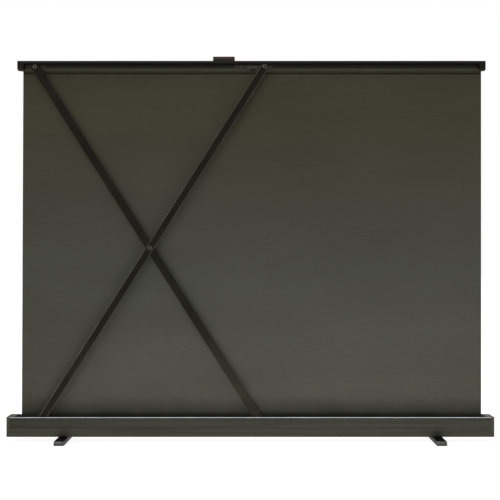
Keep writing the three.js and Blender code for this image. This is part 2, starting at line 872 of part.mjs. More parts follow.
// Its flange caps the tube and its hub turns on a rod of the given radius.
function rollerPlug(bore) {
  const fit = tubeRadius - tubeWall - seatGap;
  const end = tubeHalf + tubeSeat;
  const start = tubeHalf - plugInsert;
  return turned([
    [bore, start],
    [fit, start],
    [fit, tubeHalf + seatGap],
    [tubeRadius, tubeHalf + seatGap],
    [tubeRadius, end],
    [bore, end],
    [bore, start],
  ]);
}

// The right plug has a stub that turns in the right bracket.
function stubPlug() {
  const fit = tubeRadius - tubeWall - seatGap;
  const end = tubeHalf + tubeSeat;
  const stubEnd = bracketOuter - screenOffset;
  return turned([
    [0, tubeHalf - plugInsert],
    [fit, tubeHalf - plugInsert],
    [fit, tubeHalf + seatGap],
    [tubeRadius, tubeHalf + seatGap],
    [tubeRadius, end],
    [stubRadius, end],
    [stubRadius, stubEnd],
    [0, stubEnd],
  ]);
}

const roller = place(screen, screenOffset, rollerY, rollerZ);
const tube = ring(tubeRadius - tubeWall, tubeRadius, [-tubeHalf, tubeHalf]);
add(roller, 'roller_tube', alongX(tube), zincSteel());
add(roller, 'wound_fabric', woundFabric(), darkFabric());
const leftPlug = place(roller, 0, 0, 0);
leftPlug.rotation.z = Math.PI;
add(leftPlug, 'roller_plug_left', alongX(rollerPlug(mandrelRadius + seatGap)), blackPlastic());
add(roller, 'roller_plug_right', alongX(stubPlug()), blackPlastic());

// Roller brackets: plates against the end caps, standing on the floor of the case

function rollerBracket(range, bore) {
  const half = rollerBracketWidth / 2;
  const body = block(range, [rollerY - half, rollerY + half], [trackFloor, rollerZ + rollerBracketAbove]);
  const hole = alongX(rod(bore + seatGap, [range[0] - cutOverrun, range[1] + cutOverrun]));
  return cut(body, [hole.translate(0, rollerY, rollerZ)]);
}

const leftBracket = rollerBracket([-bracketOuter, -bracketInner], mandrelRadius);
const rightBracket = rollerBracket([bracketInner, bracketOuter], stubRadius);
add(caseGroup, 'roller_bracket_left', leftBracket, zincSteel());
add(caseGroup, 'roller_bracket_right', rightBracket, zincSteel());

// Mandrel and spring: they stay still while the tube turns round them

const tubeLeft = screenOffset - tubeHalf;
const mandrel = place(screen, 0, rollerY, rollerZ);
const springLength = springTurns * springPitch;
const mandrelRange = [-bracketOuter, tubeLeft + springStart + springLength + mandrelPast];
add(mandrel, 'spring_mandrel', alongX(rod(mandrelRadius, mandrelRange)), zincSteel());

const gripRadius = (mandrelRadius + seatGap + springWire) / Math.cos(Math.PI / coilSteps);
const tubeBore = (tubeRadius - tubeWall) * Math.cos(Math.PI / roundSegments);
const anchorRadius = tubeBore - seatGap - springWire;

// The first turn closes on the mandrel and the last one opens to the tube.
function coilRadius(turn) {
  if (turn < 1) return THREE.MathUtils.lerp(gripRadius, springRadius, turn);
  const past = Math.max(0, turn - (springTurns - 1));
  return THREE.MathUtils.lerp(springRadius, anchorRadius, past);
}

// The coil's wire: straight for one diameter at each end, and turns at a steady pitch between.
function springPath() {
  const turns = Array.from({ length: springTurns * coilSteps + 1 }, (_, step) => {
    const turn = step / coilSteps;
    const radius = coilRadius(turn);
    const angle = 2 * Math.PI * turn;
    return new THREE.Vector3(springPitch * turn, radius * Math.cos(angle), radius * Math.sin(angle));
  });
  const tail = new THREE.Vector3(2 * springWire, 0, 0);
  const first = turns[0].clone().sub(tail);
  const last = turns.at(-1).clone().add(tail);
  return new THREE.CatmullRomCurve3([first, ...turns, last]);
}

function springCoil(path) {
  const wire = Array.from({ length: coilSides }, (_, side) => {
    const angle = (2 * Math.PI * side) / coilSides;
    return [springWire * Math.cos(angle), springWire * Math.sin(angle)];
  });
  const steps = springTurns * coilSteps + 2;
  return new THREE.ExtrudeGeometry(shapeOf(wire), { steps, extrudePath: path });
}

// The least gap between stretches of the wire that are more than half a turn apart.
function leastGap(path) {
  const points = path.getSpacedPoints(springTurns * coilSteps * 2);
  let least = Infinity;
  for (let i = 0; i < points.length; i += 1) {
    for (let j = i + coilSteps; j < points.length; j += 1) {
      least = Math.min(least, points[i].distanceTo(points[j]));
    }
  }
  return least - 2 * springWire;
}

const springLine = springPath();
const spring = place(mandrel, tubeLeft + springStart, 0, 0);
add(spring, 'roller_spring', springCoil(springLine), springSteel());
console.log(`roller spring: least gap to itself ${leastGap(springLine).toFixed(1)} mm`);

// Feet: a channel open at the bottom, two end caps and a pivot each

function footBar() {
  const [halfLength, halfWidth] = [footLength / 2 - footCapFlange - seatGap, footWidth / 2];
  const body = block([-halfWidth, halfWidth], [-halfLength, halfLength], [0, footHeight]);
  const hollow = block(
    [footWall - halfWidth, halfWidth - footWall],
    [-halfLength - cutOverrun, halfLength + cutOverrun],
    [-cutOverrun, footHeight - footWall],
  );
  const hole = alongZ(rod(footPivotRadius + seatGap, [0, footHeight + cutOverrun]));
  return cut(body, [hollow, hole]);
}

// Built for the rear end; the front one is turned half round.
function footEndCap() {
  const halfWidth = footWidth / 2;
  const outer = -footLength / 2;
  const inner = outer + footCapFlange;
  const section = [
    [outer, 0],
    [inner, 0],
    [inner, footHeight],
    [outer + footCapChamfer, footHeight],
    [outer, footHeight - footCapChamfer],
  ];
  const insert = block(
    [footWall + seatGap - halfWidth, halfWidth - footWall - seatGap],
    [inner, inner + footCapInsert],
    [0, footHeight - footWall - seatGap],
  );
  return join([profile(section, [-halfWidth, halfWidth]), insert]);
}

function footPivot() {
  const web = footHeight - footWall;
  const head = web - seatGap;
  const tail = caseFloor + seatGap;
  return alongZ(turned([
    [0, head - footPivotHeadHeight],
    [footPivotHeadRadius, head - footPivotHeadHeight],
    [footPivotHeadRadius, head],
    [footPivotRadius, head],
    [footPivotRadius, tail],
    [footPivotTailRadius, tail],
    [footPivotTailRadius, tail + footPivotTailHeight],
    [0, tail + footPivotTailHeight],
  ]));
}

function footWasher() {
  const low = footHeight + seatGap;
  return alongZ(ring(footPivotRadius + seatGap, footWasherRadius, [low, low + footWasherHeight]));
}

for (const [side, x] of footPlaces) {
  const foot = place(screen, x, 0, 0);
  add(foot, `foot_bar_${side}`, footBar(), blackSteel());
  for (const [end, turn] of [['rear', 0], ['front', Math.PI]]) {
    const cap = add(foot, `foot_cap_${side}_${end}`, footEndCap(), greyPlastic());
    cap.rotation.z = turn;
  }
  add(foot, `foot_pivot_${side}`, footPivot(), zincSteel());
  add(foot, `foot_washer_${side}`, footWasher(), nylon());
}

export default screen;
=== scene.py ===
# %% [markdown]
# # A pull-up projection screen, dressed for its photograph
#
# The object is a portable screen that stands on the floor. A low case holds a spring roller, a
# scissor of two crossed arms lifts a rail, and the rail pulls the fabric up behind the picture.
# The photograph shows it from behind, so the arms stand in front of the dark back of the fabric.
#
# Every solid is already built and packed. This lesson loads that frame, looks at it through the
# photograph's camera, and gives each piece the rounded edges, the small parts and the finish that
# the real one has. Lengths are metres, X runs along the case, Y points to the audience, Z is up.

from math import atan2, pi, radians, sin, sqrt

import bmesh
import bpy
from mathutils import Matrix, Vector


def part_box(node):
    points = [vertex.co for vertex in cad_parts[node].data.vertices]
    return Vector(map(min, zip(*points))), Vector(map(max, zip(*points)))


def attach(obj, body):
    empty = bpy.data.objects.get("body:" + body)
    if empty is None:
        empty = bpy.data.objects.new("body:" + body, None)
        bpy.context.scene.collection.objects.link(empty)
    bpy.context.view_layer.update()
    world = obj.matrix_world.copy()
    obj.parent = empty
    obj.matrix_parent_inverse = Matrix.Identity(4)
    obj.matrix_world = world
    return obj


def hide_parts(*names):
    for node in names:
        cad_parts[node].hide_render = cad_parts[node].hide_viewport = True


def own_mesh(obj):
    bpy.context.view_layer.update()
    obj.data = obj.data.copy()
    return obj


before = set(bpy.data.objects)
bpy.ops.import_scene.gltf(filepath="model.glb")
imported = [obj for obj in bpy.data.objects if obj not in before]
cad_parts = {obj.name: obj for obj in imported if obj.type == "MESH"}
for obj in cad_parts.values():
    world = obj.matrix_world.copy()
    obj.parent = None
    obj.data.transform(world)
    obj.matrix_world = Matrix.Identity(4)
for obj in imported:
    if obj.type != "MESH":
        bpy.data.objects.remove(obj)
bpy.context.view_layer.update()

# %% [markdown]
# ## The camera
#
# The case fills 488 of the photograph's 500 pixels, its edges show no convergence, and the feet
# behind it shift by about four pixels. Together these give a camera five metres behind the case,
# level, at the height of a seated person's eyes. A long lens at that distance keeps the straight
# look. The camera comes first, so that each piece can be judged in the photograph's frame.

# %% Camera
mm = 0.001
photo_width = 500  # pixels
focal_pixels = 1102.5
sensor_width = 36
camera_distance = 5.0  # from the back of the case
camera_height = 0.8695
camera_shift = -0.0016  # along X

case_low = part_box("case_trough")[0]
case_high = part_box("case_end_cap_right")[1]
camera_data = bpy.data.cameras.new("photographer")
camera_data.sensor_width = sensor_width
camera_data.lens = focal_pixels / photo_width * sensor_width
camera = bpy.data.objects.new("photographer", camera_data)
camera.location = (camera_shift, case_low.y - camera_distance, camera_height)
camera.rotation_euler = (pi / 2, 0, 0)
bpy.context.scene.collection.objects.link(camera)
bpy.context.scene.camera = camera
print(f"lens: {camera_data.lens:.1f} mm, {camera_distance} m behind the case")

# %% [markdown]
# ## The light
#
# The photograph has a wide soft light from high on the left. It throws the shadow of each arm to
# the right, and the shadow of the rail's lip down its wall. A sun lamp with a wide disc does this
# evenly from one end of the screen to the other. The pale floor behind the case sends light back
# up, so the case and the lower cloth are lighter than the top. A long lamp with a narrow spread
# lights only that strip of floor. A third lamp is for the picture side.

# %% Lamps
window_place = Vector((-3.4, -3.4, 2.6))
window_target = Vector((0, 0, 0))
window_strength = 1.35
window_disc = 76  # degrees
floor_lamp_place = Vector((0.2, -0.46, 3.0))
floor_lamp_target = Vector((0.2, -0.46, 0))
floor_lamp_size = (2.4, 0.1)
floor_lamp_power = 14
floor_lamp_spread = 13  # degrees
front_lamp_place = Vector((1.1, 4.2, 2.6))
front_lamp_target = Vector((0, 0, 0.9))
front_lamp_size = 2.4
front_lamp_power = 85


def lamp(name, kind, place, target, power):
    """A lamp that points from its place to its target."""
    data = bpy.data.lights.new(name, kind)
    data.energy = power
    light = bpy.data.objects.new(name, data)
    light.location = place
    light.rotation_euler = (target - place).to_track_quat("-Z", "Y").to_euler()
    bpy.context.scene.collection.objects.link(light)
    return data


window = lamp("window_light", "SUN", window_place, window_target, window_strength)
window.angle = radians(window_disc)
pool = lamp("floor_lamp", "AREA", floor_lamp_place, floor_lamp_target, floor_lamp_power)
pool.shape = "RECTANGLE"
pool.size, pool.size_y = floor_lamp_size
pool.spread = radians(floor_lamp_spread)
front = lamp("front_lamp", "AREA", front_lamp_place, front_lamp_target, front_lamp_power)
front.size = front_lamp_size
print("lamps:", window.name, pool.name, front.name)

# %% [markdown]
# ## Node trees in a few words
#
# The world, each finish and each rule for a shape is a tree of nodes. The helpers below add a node
# with its settings and inputs, do one sum, put a vector together, map one range to another and
# blend two colours. Every input can be a plain number or the output of another node.

# %% Helpers for every tree
def add_node(tree, kind, values=None, **settings):
    """A node with its settings, and its inputs from numbers or from other outputs."""
    node = tree.nodes.new(kind)
    for key, value in settings.items():
        setattr(node, key, value)
    for key, value in (values or {}).items():
        if isinstance(value, bpy.types.NodeSocket):
            tree.links.new(value, node.inputs[key])
        else:
            node.inputs[key].default_value = value
    return node


def math_of(tree, operation, *values):
    """The result of one Math node."""
    return add_node(tree, "ShaderNodeMath", dict(enumerate(values)), operation=operation).outputs[0]


def vector_of(tree, **parts):
    """A vector from its X, Y and Z. A part that isn't given is 0."""
    return add_node(tree, "ShaderNodeCombineXYZ", parts).outputs[0]


def part_of(tree, vector, axis):
    """The X, Y or Z of a vector."""
    return add_node(tree, "ShaderNodeSeparateXYZ", {"Vector": vector}).outputs[axis]


def spread(tree, value, low, high, start=0.35, end=0.65):
    """Maps the range from start to end, by default the useful middle of a noise, to low to high."""
    return add_node(tree, "ShaderNodeMapRange", {
        "Value": value, "From Min": start, "From Max": end, "To Min": low, "To Max": high,
    }).outputs["Result"]


def blend_colours(tree, share, first, second, how="MIX"):
    """first where share is 0 and second where it is 1. Each is a colour or an output."""
    colours = [(*colour, 1) if isinstance(colour, tuple) else colour for colour in (first, second)]
    mixer = add_node(
        tree, "ShaderNodeMix", {0: share, 6: colours[0], 7: colours[1]},
        data_type="RGBA", blend_type=how,
    )
    return mixer.outputs[2]


print("helpers for every tree: 6")

# %% [markdown]
# ## The room
#
# The white background is a property of the world and the floor as seen by camera and mirror rays:
# there the floor is darker paint with a glow, so that the lit strip isn't brighter than white and
# doesn't eat into the edges of the feet. It adds nothing to the light on the object.

# %% World and floor
room_light = 0.46
room_seen = 1  # plain white
floor_half = 30.0
floor_roughness = 0.9
floor_white = (0.8, 0.8, 0.79)
floor_seen_white = (0.22, 0.22, 0.218)
floor_glow = 0.87
white_light = (1, 1, 1, 1)


def seen_directly(tree):
    """1 for camera, mirror and glass rays, and 0 for those that light the object."""
    path = add_node(tree, "ShaderNodeLightPath").outputs
    seen = math_of(tree, "MAXIMUM", path["Is Camera Ray"], path["Is Glossy Ray"])
    return math_of(tree, "MAXIMUM", seen, path["Is Transmission Ray"])


world = bpy.data.worlds.new("white_room")
world.use_nodes = True
bpy.context.scene.world = world
world_tree = world.node_tree
sky = world_tree.nodes["Background"]
sky.inputs["Color"].default_value = white_light
sky_strength = spread(world_tree, seen_directly(world_tree), room_light, room_seen, 0, 1)
world_tree.links.new(sky_strength, sky.inputs["Strength"])

floor_paint = bpy.data.materials.new("white_floor")
floor_paint.use_nodes = True
floor_tree = floor_paint.node_tree
floor_shader = floor_tree.nodes["Principled BSDF"]
floor_shader.inputs["Roughness"].default_value = floor_roughness
floor_shader.inputs["Emission Color"].default_value = white_light
floor_seen = seen_directly(floor_tree)
glow = spread(floor_tree, floor_seen, 0, floor_glow, 0, 1)
floor_tree.links.new(glow, floor_shader.inputs["Emission Strength"])
floor_colour = blend_colours(floor_tree, floor_seen, floor_white, floor_seen_white)
floor_tree.links.new(floor_colour, floor_shader.inputs["Base Color"])

floor_mesh = bpy.data.meshes.new("floor")
directions = [(-1, -1), (1, -1), (1, 1), (-1, 1)]
floor_corners = [(x * floor_half, y * floor_half, 0) for x, y in directions]
floor_mesh.from_pydata(floor_corners, [], [(0, 1, 2, 3)])
floor_mesh.materials.append(floor_paint)
floor = bpy.data.objects.new("floor", floor_mesh)
bpy.context.scene.collection.objects.link(floor)
bpy.context.scene.view_settings.view_transform = "Standard"
print("floor:", 2 * floor_half, "metres wide")

# %% [markdown]
# ## How a finish is made
#
# Every finish here starts from the Principled shader. What makes it look real is that nothing is
# even: the colour drifts, the polish drifts, and the surface has a grain. All three come from noise
# in Object coordinates, stretched by a Mapping node to the direction in which the piece was drawn,
# woven or moulded. The helpers below keep each finish to a few lines.

# %% Helpers for finishes
def object_place(tree):
    """The Object coordinates, in metres."""
    return add_node(tree, "ShaderNodeTexCoord").outputs["Object"]


def coordinate(tree, axis):
    """One of the Object coordinates, in metres."""
    return part_of(tree, object_place(tree), axis)


def noise(tree, scale, detail=3.0):
    """Noise from 0 to 1, with its own scale along X, Y and Z, in features per metre."""
    stretch = add_node(tree, "ShaderNodeMapping", {"Vector": object_place(tree), "Scale": scale})
    texture = add_node(
        tree, "ShaderNodeTexNoise", {"Vector": stretch.outputs[0], "Scale": 1, "Detail": detail}
    )
    return texture.outputs["Fac"]


def dimmed(tree, colour, share, factor):
    """The colour times a factor where share is 1."""
    scale = spread(tree, share, 1, factor, 0, 1)
    return add_node(
        tree, "ShaderNodeVectorMath", {0: colour, "Scale": scale}, operation="SCALE"
    ).outputs[0]


def grain(tree, shader, height, depth, strength=0.5):
    """Bumps the surface by a height map that is depth metres deep."""
    bump = add_node(
        tree, "ShaderNodeBump", {"Strength": strength, "Distance": depth, "Height": height}
    )
    tree.links.new(bump.outputs["Normal"], shader.inputs["Normal"])


def new_finish(name, metallic=0.0, specular=0.5):
    """An empty finish: the material, its tree and its shader."""
    material = bpy.data.materials.new(name)
    material.use_nodes = True
    shader = material.node_tree.nodes["Principled BSDF"]
    shader.inputs["Metallic"].default_value = metallic
    shader.inputs["Specular IOR Level"].default_value = specular
    return material, material.node_tree, shader


def drifting(tree, shader, colours, colour_scale, polish, polish_scale):
    """Lets the colour and the roughness drift between two values each."""
    colour = blend_colours(tree, spread(tree, noise(tree, colour_scale), 0, 1), *colours)
    tree.links.new(colour, shader.inputs["Base Color"])
    rough = spread(tree, noise(tree, polish_scale, 5.0), *polish)
    tree.links.new(rough, shader.inputs["Roughness"])
    return colour


print("helpers for finishes: 7")

# %% [markdown]
# ## Black anodised aluminium
#
# The case and the rail are extrusions. Anodising dyes the oxide layer, so the metal looks like
# dark satin plastic with fine draw lines along its length and a little dust. The other marks are
# masks on the height. The bright line on the slanted top edge is the bare metal where it has been
# rubbed, and a painted highlight as well. Painted shade darkens the fold below it, the groove, the
# upper part of the case and a patch above each foot. Inside the rail, painted shade keeps the
# upper part deep black under the lip, and the notch through which the sliding pivot was put in
# shows as a dark half ellipse of painted shade.

# %% Marks on the anodising
anodised_specular = 0.12
draw_line_scale = (0.7, 900, 900)
draw_line_depth = 0.05 * mm


def draw_lines(tree, shader):
    """Fine lines along X, as the die leaves them."""
    grain(tree, shader, noise(tree, draw_line_scale, 2.0), draw_line_depth)


def faces_to_back(tree):
    """1 on faces that look to the back, and 0 on the others."""
    normal = add_node(tree, "ShaderNodeNewGeometry").outputs["True Normal"]
    return math_of(tree, "LESS_THAN", part_of(tree, normal, "Y"), -0.3)


def shares_between(tree, value, first, second, soft=0.3 * mm):
    """1 where the value lies between two limits, with a soft change at each."""
    rising = spread(tree, value, 0, 1, first - soft, first + soft)
    falling = spread(tree, value, 1, 0, second - soft, second + soft)
    return math_of(tree, "MULTIPLY", rising, falling)


def squares_of(tree, middle, half):
    """The squares of the distances from a point in X and Z, in shares of two half widths, added."""
    squares = []
    for axis, centre, reach in zip("XZ", middle, half):
        away = math_of(tree, "SUBTRACT", coordinate(tree, axis), centre)
        squares.append(math_of(tree, "POWER", math_of(tree, "DIVIDE", away, reach), 2.0))
    return math_of(tree, "ADD", *squares)


print("helpers for marks: 4")

# %% Anodised case
# The bright band on the slanted top edge is rubbed bare metal and a painted highlight in one
# colour.
rubbed_highlight_band = (107.7 * mm, 110.2 * mm)  # heights above the floor
rubbed_highlight_colour = (0.58, 0.605, 0.65)
# Painted shade in the fold under the bright edge.
fold_shade_band = (101.6 * mm, 106.2 * mm)
fold_shade_factor = 0.6
# Painted shade in the groove along the case's back.
groove_shade_band = (59 * mm, 67 * mm)
groove_shade_softness = 1.5 * mm
groove_shade_factor = 0.82
# Painted shade: the case is darker towards its top.
painted_top_shade = 0.53
foot_places = (-850 * mm, 850 * mm)
# Painted shade: a dark patch on the case above each foot.
foot_shade_radius = 42 * mm
foot_shade_factor = 0.12


def anodised_case():
    material, tree, shader = new_finish("anodised_case", specular=anodised_specular)
    colour = drifting(
        tree, shader, colours=((0.0433, 0.0427, 0.0316), (0.0638, 0.0624, 0.0479)),
        colour_scale=(1.6, 30, 70), polish=(0.42, 0.58), polish_scale=(3, 60, 60),
    )
    height = coordinate(tree, "Z")
    # Painted shade, darker towards the top of the case.
    whole = spread(tree, height, 0, 1, case_low.z, case_high.z)
    colour = dimmed(tree, colour, whole, painted_top_shade)
    # Painted shade in the fold.
    fold = shares_between(tree, height, *fold_shade_band)
    colour = dimmed(tree, colour, fold, fold_shade_factor)
    # Painted shade in the groove.
    groove = shares_between(tree, height, *groove_shade_band, groove_shade_softness)
    colour = dimmed(tree, colour, groove, groove_shade_factor)
    # Painted shade above each foot.
    for foot in foot_places:
        squares = squares_of(tree, (foot, case_low.z), (foot_shade_radius, foot_shade_radius))
        away = math_of(tree, "POWER", squares, 0.5)
        colour = dimmed(tree, colour, spread(tree, away, 1, 0, 0, 1), foot_shade_factor)
    # Wear and a painted highlight on the slanted top edge, on faces that look to the back.
    band = shares_between(tree, height, *rubbed_highlight_band)
    edge = math_of(tree, "MULTIPLY", faces_to_back(tree), band)
    wear_and_highlight = spread(tree, noise(tree, (14, 40, 40), 5.0), 0.8, 1.0)
    rubbed_highlight = math_of(tree, "MULTIPLY", edge, wear_and_highlight)
    tree.links.new(blend_colours(tree, rubbed_highlight, colour, rubbed_highlight_colour), shader.inputs["Base Color"])
    draw_lines(tree, shader)
    return material


case_finish = anodised_case()
print("finish:", case_finish.name)

# %% Anodised rail
# Painted shade under the rail's lip: the inside is darker above this level.
lip_shade_level = 1700.5 * mm
lip_shade_change = 2.5 * mm
lip_shade_factor = 0.22
# Painted shade: a dark half ellipse where the notch's opening shows.
notch_middle = (12.5 * mm, 1691 * mm)
notch_half = (14 * mm, 4.5 * mm)
notch_softness = 0.2
notch_shade_factor = 0.2
rail_skin = 1.6 * mm  # how deep the outside reaches from the rail's back
rail_outside = (0.0078, 0.0068, 0.0054)


def anodised_rail():
    material, tree, shader = new_finish("anodised_rail", specular=anodised_specular)
    inside = drifting(
        tree, shader, colours=((0.050, 0.0475, 0.032), (0.066, 0.063, 0.044)),
        colour_scale=(2.2, 30, 70), polish=(0.42, 0.6), polish_scale=(3, 60, 60),
    )
    height = coordinate(tree, "Z")
    # Painted shade under the lip.
    deep = spread(tree, height, 0, 1, lip_shade_level - lip_shade_change, lip_shade_level + lip_shade_change)
    inside = dimmed(tree, inside, deep, lip_shade_factor)
    # Painted shade of the notch.
    squares = squares_of(tree, notch_middle, notch_half)
    notch_shade = spread(tree, squares, 1, 0, 1 - notch_softness, 1 + notch_softness)
    inside = dimmed(tree, inside, notch_shade, notch_shade_factor)
    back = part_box("top_rail")[0].y
    outside = math_of(tree, "LESS_THAN", coordinate(tree, "Y"), back + rail_skin)
    colour = blend_colours(tree, outside, inside, rail_outside)
    tree.links.new(colour, shader.inputs["Base Color"])
    draw_lines(tree, shader)
    return material


rail_finish = anodised_rail()
print("finish:", rail_finish.name)

# %% [markdown]
# ## Painted steel, plated steel and plastics
#
# The arms and the feet are steel with a thin black paint. Paint has a fine ripple, it is thinnest
# on the rims, and there the steel starts to show; the rear arm's rims carry a painted highlight
# too.
# The lower ends of the arms are painted lighter, as painted light from the floor. The small parts
# are zinc plated: metallic, a little uneven, dulled by handling. The upper slide's plating is
# darker, as painted shade under the rail's lip, and the rivets' bores are painted near black, as
# painted shade. The caps are moulded, with the leather-like grain that hides scratches, and the
# washers and pads are nylon, grey with dust.

# %% Painted steel
arm_half = 17 * mm
rim_width = 3.4 * mm
rim_softness = 1 * mm
floor_light_levels = (225 * mm, 520 * mm)  # heights of the most and of the least painted floor light


def across_rear_arm(tree):
    """The distance from the rear arm's middle line, in metres, more than 0 to its upper left."""
    low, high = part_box("rear_arm")
    start = Vector((low.x + arm_half, 0, low.z + arm_half))
    along = Vector((high.x - arm_half, 0, high.z - arm_half)) - start
    upper_left = Vector((-along.z, 0, along.x)).normalized()
    dot = add_node(
        tree, "ShaderNodeVectorMath", {0: object_place(tree), 1: upper_left},
        operation="DOT_PRODUCT",
    )
    return math_of(tree, "SUBTRACT", dot.outputs["Value"], upper_left.dot(start))


def upper_rim(tree):
    """1 on the rear arm's upper left rim."""
    start = arm_half - rim_width
    return spread(tree, across_rear_arm(tree), 0, 1, start - rim_softness, start)


def lower_rim(tree):
    """1 on the rear arm's lower right rim."""
    end = rim_width - arm_half
    return spread(tree, across_rear_arm(tree), 1, 0, end, end + rim_softness)


def painted_steel(name, colours, rim_wear_and_highlights=(), floor_light_foot=1.0):
    """Black paint. The rim pairs are (share, colour) pairs laid over it, for worn rims with a
    painted highlight, and the foot factor is how much painted light from the floor lightens the
    lowest part."""
    material, tree, shader = new_finish(name, specular=0.06)
    colour = drifting(tree, shader, colours, (9, 9, 9), (0.38, 0.55), (40, 40, 40))
    # Painted light from the floor: the lowest part of the paint is lighter.
    if floor_light_foot != 1:
        floor_light = spread(tree, coordinate(tree, "Z"), 1, 0, *floor_light_levels)
        colour = dimmed(tree, colour, floor_light, floor_light_foot)
    # Worn rims with a painted highlight, laid over the paint.
    for rim_share, rim in rim_wear_and_highlights:
        wear_and_highlight = spread(tree, noise(tree, (20, 20, 20), 6.0), 0.6, 1.0)
        share = math_of(tree, "MULTIPLY", rim_share(tree), wear_and_highlight)
        colour = blend_colours(tree, share, colour, rim)
    tree.links.new(colour, shader.inputs["Base Color"])
    grain(tree, shader, noise(tree, (420, 420, 420), 2.0), 0.04 * mm)
    return material


arm_colours = ((0.0077, 0.0073, 0.0046), (0.0118, 0.0111, 0.0072))
front_arm_finish = painted_steel("front_arm_paint", arm_colours, floor_light_foot=2.3)
# The rims' colours are wear and a painted highlight, brightest on the upper left rim.
rear_arm_rim_wear_and_highlights = [(upper_rim, (0.092, 0.089, 0.070)), (lower_rim, (0.066, 0.064, 0.050))]
rear_arm_finish = painted_steel("rear_arm_paint", arm_colours, rear_arm_rim_wear_and_highlights, 1.45)
foot_finish = painted_steel("foot_paint", ((0.004, 0.004, 0.0037), (0.007, 0.007, 0.0065)))
bracket_finish = painted_steel("bracket_paint", ((0.032, 0.031, 0.024), (0.052, 0.050, 0.040)))
print("painted finishes: 4")


# %% Plated steel
def plated_steel(name, colours, polish, painted_shade_where=None):
    """Zinc plating. Where the named attribute is 1, it is painted near black, as painted shade in a
    hollow.
    """
    material, tree, shader = new_finish(name, metallic=1.0)
    colour = drifting(tree, shader, colours, (160, 160, 160), polish, (90, 90, 90))
    if painted_shade_where:
        mark = add_node(tree, "ShaderNodeAttribute", attribute_name=painted_shade_where)
        colour = dimmed(tree, colour, mark.outputs["Fac"], 0.02)
        tree.links.new(colour, shader.inputs["Base Color"])
    grain(tree, shader, noise(tree, (700, 700, 700), 2.0), 0.02 * mm, 0.4)
    return material


rivet_finish = plated_steel(
    "rivet_plating", ((0.115, 0.111, 0.090), (0.180, 0.174, 0.142)), (0.3, 0.48), "bore"
)
# The upper slide's plating is a darker copy of the zinc: painted shade under the rail's lip.
slide_finish = plated_steel(
    "dull_shaded_zinc", ((0.026, 0.025, 0.019), (0.044, 0.042, 0.032)), (0.42, 0.6)
)
zinc_finish = plated_steel(
    "zinc_plating", ((0.24, 0.235, 0.21), (0.34, 0.335, 0.31)), (0.35, 0.5)
)
spring_finish = plated_steel(
    "spring_wire", ((0.16, 0.16, 0.155), (0.24, 0.24, 0.23)), (0.25, 0.4)
)
screw_finish = plated_steel(
    "black_screws", ((0.014, 0.014, 0.012), (0.024, 0.024, 0.021)), (0.35, 0.5)
)
print("plated finishes: 5")


# %% Plastic finishes
def moulded(name, colours, specular=0.4, polish=(0.38, 0.52), leather=260, depth=0.06 * mm):
    """Moulded plastic with a leather-like grain of the given number of cells per metre."""
    material, tree, shader = new_finish(name, specular=specular)
    drifting(tree, shader, colours, (14, 14, 14), polish, (30, 30, 30))
    cells = add_node(
        tree, "ShaderNodeTexVoronoi", {"Vector": object_place(tree), "Scale": leather}
    )
    grain(tree, shader, cells.outputs["Distance"], depth, 0.35)
    return material


cap_finish = moulded(
    "cap_moulding", ((0.052, 0.0505, 0.039), (0.073, 0.071, 0.055)), 0.1, (0.6, 0.75)
)
foot_cap_finish = moulded(
    "foot_cap_moulding", ((0.047, 0.047, 0.043), (0.062, 0.062, 0.057)), 0.25
)
grip_plate_finish = moulded(
    "grip_plate_coating", ((0.008, 0.008, 0.0076), (0.012, 0.012, 0.0115)), 0.12
)
grip_finish = moulded(
    "grip_moulding", ((0.024, 0.0090, 0.0112), (0.037, 0.0145, 0.0175)), 0.25, leather=420
)
batten_finish = moulded(
    "batten_moulding", ((0.011, 0.0108, 0.0085), (0.018, 0.0176, 0.014)), 0.15
)
rail_cap_finish = moulded(
    "rail_cap_moulding", ((0.0065, 0.0055, 0.0038), (0.0105, 0.0090, 0.0065)), 0.08
)
nylon_finish = moulded(
    "dusty_nylon", ((0.046, 0.044, 0.032), (0.066, 0.063, 0.046)), 0.25, (0.4, 0.55),
    leather=900, depth=0.02 * mm,
)
print("plastic finishes: 7")

# %% [markdown]
# ## The cloth
#
# The screen is one coated cloth: matte white for the picture, with a printed black border, and a
# dark grey-green backing with a plain weave. The weave is far too fine to model, so it is bump: the
# product of one sine along the width and one along the height, which is what a plain weave's
# threads do. Each face has a UV map in metres, so the weave keeps its size. A dark line of painted
# shadow lies across the backing under the rail, and painted shade darkens it towards the slot. The
# backing is painted paler and greyer towards a level a little below the middle and darker at the
# top, as painted light from the floor. Thick places in the weft show as faint short lines.

# %% Cloth helpers
thread_pitch = 0.9 * mm
slub_scale = (28, 1, 170)  # thick places in the weft, in features per metre
slub_factor = 0.88
sheet_low, sheet_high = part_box("screen_fabric")
# The backing is painted palest at this level: painted light from the floor.
palest_level = 800 * mm


def weave(tree, pitch):
    """The height of a plain weave, from 0 to 1, on the UV map in metres."""
    cloth = add_node(tree, "ShaderNodeUVMap", uv_map="cloth").outputs["UV"]
    waves = []
    for side in ("X", "Y"):
        turns = math_of(tree, "MULTIPLY", part_of(tree, cloth, side), 2 * pi / pitch)
        waves.append(math_of(tree, "SINE", turns))
    return math_of(tree, "MULTIPLY_ADD", math_of(tree, "MULTIPLY", *waves), 0.5, 0.5)


def tinted(tree, colour, bottom, middle, top):
    """The colour times a tint that changes with the height."""
    height = coordinate(tree, "Z")
    lower = spread(tree, height, 0, 1, sheet_low.z, palest_level)
    upper = spread(tree, height, 0, 1, palest_level, sheet_high.z)
    tint = blend_colours(tree, upper, blend_colours(tree, lower, bottom, middle), top)
    return blend_colours(tree, 1, colour, tint, "MULTIPLY")


